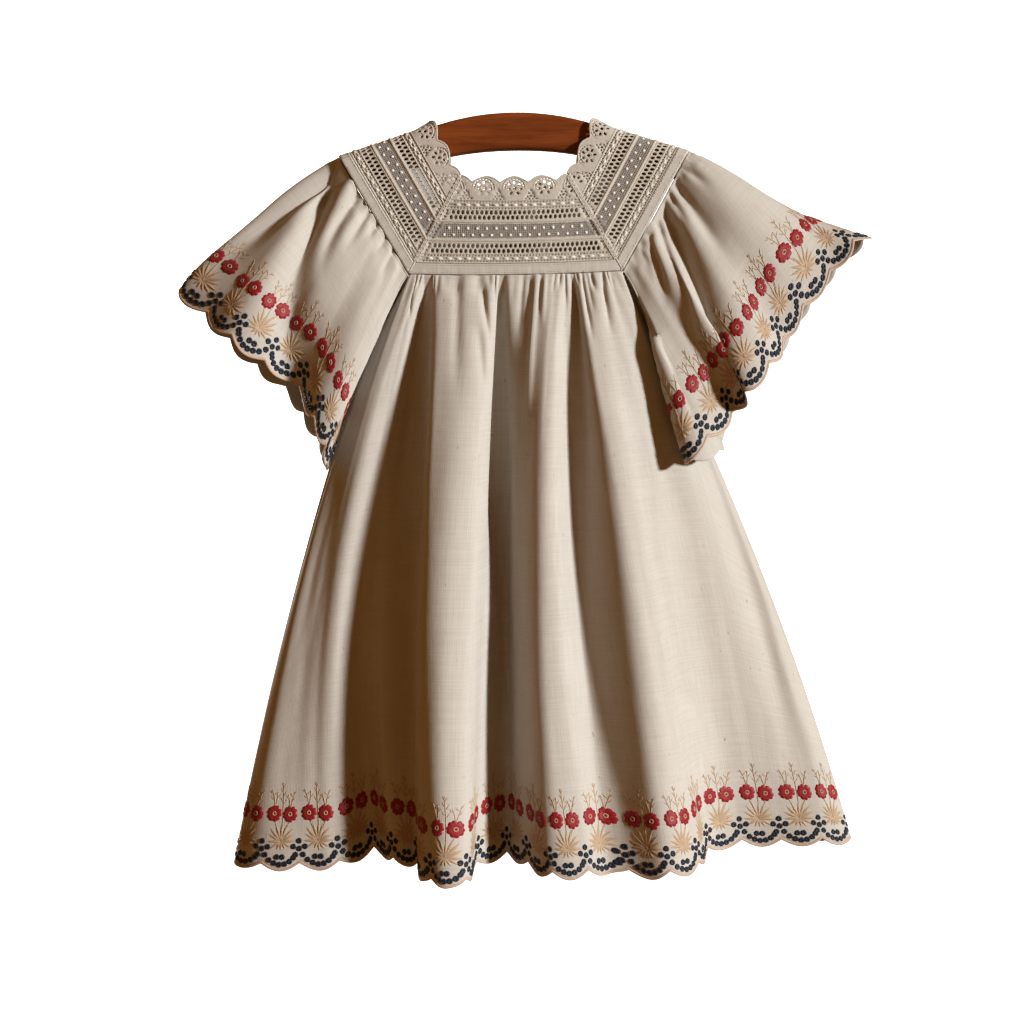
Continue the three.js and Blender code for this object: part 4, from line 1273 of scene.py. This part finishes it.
def make_cloth(name, linen):
    """One shaped piece of linen as a thin shell in the place of its solid."""
    cloth = CLOTH[name]
    thickness = mm(bpy.context.scene.dress_sizes.linen_thickness)
    vertices, faces = shell_mesh(cloth.grid, cloth.normals, thickness, cloth.closed)
    along = np.broadcast_to(cloth.columns * REPEAT, cloth.levels.shape)
    down = -cloth.levels * cloth.flat_length
    if cloth.closed:
        along, down = along[:, :-1], down[:, :-1]
    flat = np.stack([along, down], axis=-1).reshape(-1, 2)
    piece = new_object(f"{name}_linen", vertices, faces.tolist(), [linen], np.concatenate([flat, flat]))
    outward_normals(piece)
    finish_piece(piece, [name])


def lay_on_side(name, side, relief, materials):
    """A relief laid on one side of the yoke."""
    places = relief.all_places()
    vertices = side.place(places[:, :2], places[:, 2])
    piece = new_object(name, vertices, relief.faces, materials, places[:, :2], relief.kinds)
    outward_normals(piece)
    return piece


def outward_normals(piece):
    """Turns a piece's faces to face outwards."""
    bm = bmesh.new()
    bm.from_mesh(piece.data)
    bmesh.ops.recalc_face_normals(bm, faces=bm.faces)
    bm.to_mesh(piece.data)
    bm.free()


# Threads of the embroidery, in the order of their materials
NAVY, RED, TAN, EDGE = range(4)

# One repeat of the border, in millimetres from a cusp of the hem along it and up from the scallops' tips
CUSP_FLOWER = (0, 16.8)
CUSP_PETALS = ((0, 5.8), (4.7, 1.6), (2.9, -4.4), (-2.9, -4.4), (-4.7, 1.6))
CHAIN = (
    (6.3, 8.6), (10.2, 6.4), (14.2, 5.2), (18.3, 5.6), (22.3, 7.4), (25.4, 10.2),
    (12.1, 10.9), (16.4, 10.8),
)
EYELET_REACH = 2.25
# The part of an eyelet's reach that dips
PANEL_HOLLOW = 0.16
SLEEVE_HOLLOW = 0.3
# Flowers, as place along, height and turn
FLOWERS = ((8.6, 43.4, 0.2), (22.4, 42.6, -0.3))
FLOWER_REACH = 6.7
FLOWER_STEPS = 50
SPRAY_BASE = (15.4, 22.5)
# Leaves of the spray, as lean in degrees, length and width
LEAVES = (
    (-148, 8, 2.2), (-118, 11, 2.4), (-90, 12.5, 2.5), (-66, 13, 2.6), (-42, 14.5, 2.6),
    (-19, 15.5, 2.4), (2, 14, 2.2), (22, 15.5, 2.4), (45, 14.5, 2.6), (68, 13, 2.6), (92, 12.5, 2.5),
    (119, 11, 2.4), (149, 8, 2.2), (180, 7.5, 2),
)
# Stems, each through its own marks
STEMS = (
    ((15.2, 22.5), (12.5, 30), (9.4, 38)), ((15.4, 22.5), (18.8, 30), (22, 37)),
    ((15.4, 22.5), (16.3, 36), (16.2, 50), (15.4, 66)),
    ((8.8, 49), (7.6, 55), (5.4, 61)), ((9.2, 49), (10.4, 55), (10.4, 60)),
    ((22.8, 47.6), (24.4, 53), (26.6, 59)), ((22.4, 47.8), (21.6, 53), (20.4, 57)),
)
# Small leaves on the stems, as place along, height, lean in degrees and length
TWIGS = (
    (16.2, 56, 30, 6.0), (16.1, 57.5, -30, 6.0), (16.3, 50, 34, 6.5), (16.3, 51, -34, 6.5),
    (15.8, 62, 24, 4.5), (15.6, 62.5, -24, 4.5), (7.2, 56.5, 40, 4.5), (8.2, 53, -50, 5.0),
    (6.4, 58.5, -60, 4.0), (10.4, 55, 45, 4.5), (25, 55, -42, 4.5), (24, 52, 44, 5.0),
    (25.8, 57, 40, 4.0), (21.4, 54, -46, 4.5),
)


def flower_outline(along, height, reach, turn):
    """A flower of five double-notched petals."""
    angles = np.arange(FLOWER_STEPS) * 2 * np.pi / FLOWER_STEPS
    petal = (angles * 5 / (2 * np.pi) + 0.5) % 1 - 0.5
    notch = 0.13 * np.exp(-(petal / 0.1) ** 2)
    reaches = reach * (0.74 + 0.26 * np.sqrt(np.abs(np.cos(np.pi * petal))) - notch)
    angles = angles + turn
    return np.column_stack([along + reaches * np.cos(angles), height + reaches * np.sin(angles)])


def leaf_outline(along, height, degrees, length, width):
    """A pointed leaf leaning from straight up by an angle."""
    share = np.linspace(0, 1, 6)
    belly = width / 2 * np.sin(np.pi * share ** 0.8)
    side_a = np.column_stack([belly, share * length])
    side_b = np.column_stack([-belly, share * length])[-2:0:-1]
    outline = np.vstack([side_a, side_b])
    angle = math.radians(-degrees)
    cos, sin = math.cos(angle), math.sin(angle)
    return np.column_stack([along + outline[:, 0] * cos - outline[:, 1] * sin,
                            height + outline[:, 0] * sin + outline[:, 1] * cos])


def curved(marks, steps):
    """A smooth flat path through a few marks."""
    marks = np.array(marks, float)
    table = FoldTable("place x y", np.column_stack([np.arange(len(marks)), marks]))
    return table.at(np.linspace(0, len(marks) - 1, steps))


def eyelet(relief, along, height, hollow):
    """A round eyelet of satin stitches that dips in the middle."""
    ring = oval(along, height, EYELET_REACH, EYELET_REACH, 12)
    rings = ((1.0, 0.0), (0.82, 0.85), (0.5, 1.0), (hollow, 0.3))
    relief.dome(ring, 0.75, kind=NAVY, rings=rings, peak=0.15)


def border_repeat(hollow, rng):
    """The stitches of one repeat of the border."""
    relief = Relief()
    eyelet(relief, *CUSP_FLOWER, hollow)
    for along, up in CUSP_PETALS:
        eyelet(relief, CUSP_FLOWER[0] + along, CUSP_FLOWER[1] + up, hollow)
    for along, height in CHAIN:
        eyelet(relief, along, height, hollow)
    for along, height, turn in FLOWERS:
        outline = flower_outline(along, height, FLOWER_REACH, turn + rng.uniform(-0.25, 0.25))
        rings = ((1.0, 0.0), (0.9, 0.8), (0.6, 1.0), (0.3, 0.7))
        relief.dome(outline, 0.7, kind=RED, rings=rings, peak=0.6)
        circle = oval(along, height, 1.35, 1.35, 14)
        relief.cord(np.vstack([circle, circle[:1]]), 0.42, 0.4, base=0.8, kind=TAN, segments=4)
    for degrees, length, width in LEAVES:
        lean = degrees + rng.uniform(-3, 3)
        outline = leaf_outline(*SPRAY_BASE, lean, length * rng.uniform(0.93, 1.05), width)
        relief.dome(outline, 0.45, kind=TAN, rings=((1.0, 0.0), (0.55, 0.9)))
    for marks in STEMS:
        relief.cord(curved(marks, 3 * len(marks)), 0.34, 0.35, kind=TAN, segments=3)
    for along, height, degrees, length in TWIGS:
        outline = leaf_outline(along, height, degrees, length, 1.0)
        relief.dome(outline, 0.3, kind=TAN, rings=((1.0, 0.0), (0.5, 0.9)))
    return relief


def hem_height(along):
    """How far the scalloped edge stands above the scallops' tips."""
    return HEM_SCALLOP_DEPTH * scallop_rise(along / REPEAT)


def make_border(name, repeats, hollow, materials):
    """The embroidered border along one piece of linen."""
    cloth = CLOTH[name]
    rng = np.random.default_rng(len(name) * 7)
    relief = Relief()
    last = repeats * REPEAT
    for number in range(repeats if cloth.closed else repeats + 1):
        motif = border_repeat(hollow, rng)
        places = motif.all_places()
        places[:, 0] += number * REPEAT
        fits = (places[:, 0] > 0.2) & (places[:, 0] < last - 0.2) | cloth.closed
        kept = [(face, kind) for face, kind in zip(motif.faces, motif.kinds) if all(fits[i] for i in face)]
        relief.add(places, [face for face, kind in kept], [kind for face, kind in kept])
    along = np.linspace(0.05, last - 0.05, repeats * 24 + 1)
    relief.cord(np.column_stack([along, hem_height(along) + 0.9]), 1.25, 0.6, base=0.1, kind=EDGE)
    places = relief.all_places()
    vertices = cloth.at(places[:, 0], places[:, 1], places[:, 2])
    piece = new_object(f"{name}_embroidery", vertices, relief.faces, materials, places[:, :2], relief.kinds)
    outward_normals(piece)
    finish_piece(piece, [])


def make_lace(side, laces, thickness):
    """One side's lace panel, neck edging and raised threads."""
    nodes = (f"yoke_lace_{side.name}", f"neck_edging_{side.name}")
    outlines = (lace_outline(side), edging_outline(side))
    hole_sets = (lace_holes(side), edging_holes(side))
    for node, outline, holes in zip(nodes, outlines, hole_sets):
        piece, area = pierced_lace(f"{node}_crochet", side, outline, holes, thickness, laces[0])
        finish_piece(piece, [node])
        size = outline.max(axis=0) - outline.min(axis=0)
    threads = lay_on_side(f"yoke_threads_{side.name}", side, lace_relief(side), laces)
    finish_piece(threads, [])


def flat_grid(side, widths, shares):
    """A grid of flat places on one side of the yoke."""
    width, share = np.meshgrid(widths, shares, indexing="ij")
    return np.stack([share * side.half(width), width], axis=-1)


def thin_wall(name, side, flat, lift, thickness, linen):
    """A thin wall of linen over a grid of places on one side of the yoke."""
    grid = side.place(flat, lift)
    lifted = side.place(flat, lift + 1)
    vertices, faces = shell_mesh(grid, lifted - grid, thickness, False)
    places = flat.reshape(-1, 2)
    wall = new_object(name, vertices, faces.tolist(), [linen], np.concatenate([places, places]))
    outward_normals(wall)
    return wall


def make_lining(linen):
    """Thin linen behind the lace of the back and of the shoulders' back halves."""
    for side in YOKE_SIDES[1:]:
        widths = np.linspace(5 - EDGING_WIDTH, LACE_WIDTH - HALF_SEAM, 12)
        first = -1 if side.facing else 0.05
        flat = flat_grid(side, widths, np.linspace(first, 1, 61))
        lift = np.full(flat.shape[:2], LINING_LIFT)
        lining = thin_wall(f"yoke_lining_{side.name}", side, flat, lift, LINING_THICKNESS, linen)
        finish_piece(lining, [])
        near, far = float(side.half(widths[0])), float(side.half(widths[-1]))


def mitre_spots(side, end, widths):
    """Places on the yoke along one end of one of its sides."""
    return side.place(np.column_stack([end * side.half(widths), widths]), np.full(len(widths), 0.2))


def make_mitres(lace):
    """A crocheted rope over each corner seam of the yoke."""
    widths = np.arange(-EDGING_WIDTH + 2, YOKE_WIDTH, 1.5)
    sides = MITRE_ROPE_SIDES
    angles = np.arange(sides) * 2 * np.pi / sides
    for side in YOKE_SIDES[:2]:
        for end, other in ((-1, YOKE_SIDES[2]), (1, YOKE_SIDES[3])):
            path = (mitre_spots(side, end, widths) + mitre_spots(other, side.facing, widths)) / 2
            ahead = unit(np.gradient(path, axis=0))
            aside = unit(np.cross(ahead, (0.0, 1.0, 0.0)))
            off = np.cross(aside, ahead)
            reach = 0.95 + 0.15 * np.cos(np.arange(len(widths)) * np.pi)[:, None, None]
            cos, sin = np.cos(angles)[None, :, None], np.sin(angles)[None, :, None]
            ring = aside[:, None] * cos + off[:, None] * sin
            vertices = (path[:, None] + ring * reach).reshape(-1, 3)
            count = len(path)
            faces = ring_faces(count, sides)
            faces += [tuple(range(sides)), tuple(sides * count - 1 - k for k in range(sides))]
            rope = new_object(f"mitre_{side.name}_{other.name}", vertices, faces, [lace])
            outward_normals(rope)
            finish_piece(rope, [])


def make_band(side, linen):
    """The linen band below one side's lace, with its two rows of stitches."""
    near, far = LACE_WIDTH + HALF_SEAM, YOKE_WIDTH + 0.2
    flat = flat_grid(side, np.linspace(near, far, 9), np.linspace(-1, 1, 121))
    along, width = flat[..., 0], flat[..., 1]
    pucker = value_noise(17, along * 0.35 + 40, width * 0.2) * 0.3 * (width - near) / (far - near)
    band = thin_wall(f"yoke_band_{side.name}_linen", side, flat, pucker, BAND_THICKNESS, linen)
    finish_piece(band, [f"yoke_band_{side.name}"])
    length = 2 * float(side.half(far))
    area = (float(side.half(near)) + float(side.half(far))) * (far - near)
    relief = Relief()
    for row in (near + 1.3, far - 1.5):
        for stitch in hole_row(side, row, 2.6, 0.95, 0.24, 0.0, 6, 1.0):
            relief.dome(stitch, 0.25, base=0.75)
    stitches = lay_on_side(f"yoke_band_{side.name}_stitches", side, relief, [linen])
    finish_piece(stitches, [])


def hanger_outline(steps, end_steps):
    """The hanger board's outline, set in by its bevel, and the directions outwards from it."""
    end_x = ARM_END_X - BOARD_HEIGHT_END / 2
    x = np.linspace(-end_x, end_x, steps)
    part = np.abs(x) / end_x
    height = BOARD_HEIGHT_MIDDLE + (BOARD_HEIGHT_END - BOARD_HEIGHT_MIDDLE) * part * part * (3 - 2 * part)
    top = np.column_stack([x, hanger_top(x) - BOARD_BEVEL])
    bottom = np.column_stack([x, hanger_top(x) - height + BOARD_BEVEL])[::-1]
    turn = np.radians(np.linspace(90, -90, end_steps))[1:-1]
    reach = BOARD_HEIGHT_END / 2 - BOARD_BEVEL
    middle = hanger_top(np.float64(end_x)) - BOARD_HEIGHT_END / 2
    right = np.column_stack([end_x + reach * np.cos(turn), middle + reach * np.sin(turn)])
    left = np.column_stack([-right[:, 0], right[:, 1]])[::-1]
    outline = np.vstack([top, right, bottom, left])
    ahead = np.roll(outline, -1, axis=0) - np.roll(outline, 1, axis=0)
    return outline, unit(np.column_stack([-ahead[:, 1], ahead[:, 0]]))


def make_hanger(wood):
    """The hanger's board with rounded edges."""
    outline, outward = hanger_outline(61, 15)
    flat_half = BOARD_THICKNESS / 2 - BOARD_BEVEL
    rings = []
    for degrees in (0, 18, 36, 54, 72, 90):
        angle = math.radians(degrees)
        rings.append((-flat_half - BOARD_BEVEL * math.cos(angle), BOARD_BEVEL * math.sin(angle)))
    rings += [(-y, out) for y, out in reversed(rings)]
    count = len(outline)
    vertices = []
    for y, out in rings:
        edge = outline + outward * out
        vertices.append(points(edge[:, 0], y, edge[:, 1]))
    faces = ring_faces(len(rings), count)
    faces.append(tuple(range(count - 1, -1, -1)))
    faces.append(tuple((len(rings) - 1) * count + i for i in range(count)))
    board = new_object("hanger_board", hung(np.concatenate(vertices)), faces, [wood])
    outward_normals(board)
    finish_piece(board, ["hanger"])


class DRESS_OT_skirt(bpy.types.Operator):
    """Make the gathered front and back panels."""
    bl_idname = "dress.skirt"
    bl_label = "Skirt panels"

    def execute(self, context):
        linen = linen_finish(context.scene.dress_colours)
        CLOTH.update(cloth_pieces())
        for name in ("body_front", "body_back"):
            make_cloth(name, linen)
        return {"FINISHED"}


class DRESS_OT_sleeves(bpy.types.Operator):
    """Make the two flared sleeves."""
    bl_idname = "dress.sleeves"
    bl_label = "Sleeves"

    def execute(self, context):
        linen = bpy.data.materials["washed_linen"]
        for name in ("sleeve_left", "sleeve_right"):
            make_cloth(name, linen)
        return {"FINISHED"}


class DRESS_OT_lace(bpy.types.Operator):
    """Make the crochet lace panels and the scalloped neck edging."""
    bl_idname = "dress.lace"
    bl_label = "Crochet lace"

    def execute(self, context):
        colours = context.scene.dress_colours
        laces = (
            # The cotton, with its fine net painted darker as painted shade
            lace_finish("crochet_cotton", colours.lace, colours.lace_shade, colours.net_painted_shade),
            # A lighter copy of the cotton for the beads and net dots, as painted highlight
            lace_finish("crochet_beads_painted_highlight", colours.bead_painted_highlight, colours.lace, colours.bead_painted_highlight),
        )
        thickness = mm(context.scene.dress_sizes.lace_thickness)
        for side in YOKE_SIDES:
            make_lace(side, laces, thickness)
        make_lining(bpy.data.materials["washed_linen"])
        make_mitres(laces[0])
        return {"FINISHED"}


class DRESS_OT_bands(bpy.types.Operator):
    """Make the linen bands between the lace and the gathers."""
    bl_idname = "dress.bands"
    bl_label = "Yoke bands"

    def execute(self, context):
        linen = bpy.data.materials["washed_linen"]
        for side in YOKE_SIDES:
            make_band(side, linen)
        return {"FINISHED"}


class DRESS_OT_embroidery(bpy.types.Operator):
    """Make the stitched border of the hem and sleeves."""
    bl_idname = "dress.embroidery"
    bl_label = "Embroidery"

    def execute(self, context):
        colours = context.scene.dress_colours
        threads = [
            thread_finish("navy_thread", colours.navy, (0.004, 0.006, 0.012)),
            thread_finish("red_thread", colours.red, (0.15, 0.004, 0.008)),
            thread_finish("tan_thread", colours.tan, (0.32, 0.21, 0.11)),
            thread_finish("edge_thread", colours.edge, (0.38, 0.27, 0.2)),
        ]
        for name in ("body_front", "body_back"):
            make_border(name, PANEL_REPEATS, PANEL_HOLLOW, threads)
        for name in ("sleeve_left", "sleeve_right"):
            make_border(name, SLEEVE_REPEATS, SLEEVE_HOLLOW, threads)
        return {"FINISHED"}


class DRESS_OT_hanger(bpy.types.Operator):
    """Make the wooden hanger."""
    bl_idname = "dress.hanger"
    bl_label = "Hanger"

    def execute(self, context):
        make_hanger(wood_finish(context.scene.dress_colours))
        return {"FINISHED"}


# Studio: a round floor that bends up into a wall all round
FLOOR_Z = -900
ROOM_RADIUS = 6000
ROOM_BEND = 900
ROOM_TOP = 4000
ROOM_SIDES = 96
# The middle of the picture, across and up, in millimetres
CAMERA_AIM = (-0.75, -299.25)
SENSOR_WIDTH = 36
KEY_TURN = (78, 0, 54.5)
KEY_SIZE = 7
BACK_TURN = (-82, 0, 28)
BACK_SIZE = 30


class DRESS_OT_stage(bpy.types.Operator):
    """Make the pale floor and wall, the lights and the camera."""
    bl_idname = "dress.stage"
    bl_label = "Studio"

    def execute(self, context):
        stage = context.scene.dress_stage
        colours = context.scene.dress_colours
        paper = studio_finish("studio_paper", colours.floor)
        profile = [(100, FLOOR_Z)]
        profile += [(ROOM_RADIUS - ROOM_BEND * (1 - math.sin(a)), FLOOR_Z + ROOM_BEND * (1 - math.cos(a)))
                    for a in np.linspace(0, math.pi / 2, 24)]
        profile += [(ROOM_RADIUS, ROOM_TOP)]
        round_about = np.arange(ROOM_SIDES) * 2 * math.pi / ROOM_SIDES
        vertices = [(r * math.cos(a), r * math.sin(a), z) for r, z in profile for a in round_about]
        faces = ring_faces(len(profile), ROOM_SIDES)
        faces.append(tuple(range(ROOM_SIDES)))
        backdrop = new_object("studio_sweep", vertices, faces, [paper])
        backdrop.visible_diffuse = False
        backdrop.visible_glossy = False
        backdrop.visible_shadow = False
        world = bpy.data.worlds.new("studio_fill")
        context.scene.world = world
        world.use_nodes = True
        background = world.node_tree.nodes["Background"]
        background.inputs["Color"].default_value = (1.0, 0.47, 0.13, 1.0)
        background.inputs["Strength"].default_value = stage.fill
        self.lamp("key", KEY_TURN, stage.key, KEY_SIZE, (0.95, 0.99, 1.0))
        self.lamp("back", BACK_TURN, stage.back, BACK_SIZE, (1.0, 0.96, 0.92))
        camera = bpy.data.objects.new("camera", bpy.data.cameras.new("camera"))
        camera.data.lens = stage.lens
        camera.data.sensor_width = SENSOR_WIDTH
        camera.location = (CAMERA_AIM[0] * MM, -stage.distance, CAMERA_AIM[1] * MM)
        camera.rotation_euler = (math.pi / 2, 0, 0)
        context.scene.collection.objects.link(camera)
        context.scene.camera = camera
        context.scene.view_settings.view_transform = "Standard"
        context.scene.view_settings.gamma = 0.9
        return {"FINISHED"}

    def lamp(self, name, turn, strength, size, colour):
        """A sun lamp turned by degrees, of an angular size in degrees."""
        light = bpy.data.lights.new(name, "SUN")
        light.energy = strength
        light.angle = math.radians(size)
        light.color = colour
        lamp = bpy.data.objects.new(name, light)
        lamp.rotation_euler = [math.radians(degrees) for degrees in turn]
        bpy.context.scene.collection.objects.link(lamp)


OPERATORS = (
    DRESS_OT_stage, DRESS_OT_skirt, DRESS_OT_sleeves, DRESS_OT_embroidery, DRESS_OT_lace, DRESS_OT_bands,
    DRESS_OT_hanger,
)
GROUPS = (DressColours, DressSizes, DressStage)


class DRESS_PT_pieces(bpy.types.Panel):
    """Lists the dress's pieces and their settings."""
    bl_idname = "DRESS_PT_pieces"
    bl_label = "Lace-Yoke Dress"
    bl_space_type = "VIEW_3D"
    bl_region_type = "UI"
    bl_category = "Dress"

    def draw(self, context):
        for operator in OPERATORS:
            self.layout.operator(operator.bl_idname)
        for settings in (context.scene.dress_colours, context.scene.dress_sizes, context.scene.dress_stage):
            box = self.layout.box()
            for name in settings.__annotations__:
                box.prop(settings, name)


CLASSES = (*GROUPS, *OPERATORS, DRESS_PT_pieces)


def register():
    for cls in CLASSES:
        bpy.utils.register_class(cls)
    bpy.types.Scene.dress_colours = PointerProperty(type=DressColours)
    bpy.types.Scene.dress_sizes = PointerProperty(type=DressSizes)
    bpy.types.Scene.dress_stage = PointerProperty(type=DressStage)


def unregister():
    del bpy.types.Scene.dress_colours
    del bpy.types.Scene.dress_sizes
    del bpy.types.Scene.dress_stage
    for cls in reversed(CLASSES):
        bpy.utils.unregister_class(cls)


def main():
    register()
    bpy.ops.dress.stage()
    bpy.ops.dress.skirt()
    bpy.ops.dress.sleeves()
    bpy.ops.dress.embroidery()
    bpy.ops.dress.lace()
    bpy.ops.dress.bands()
    bpy.ops.dress.hanger()


if __name__ == "__main__":
    main()
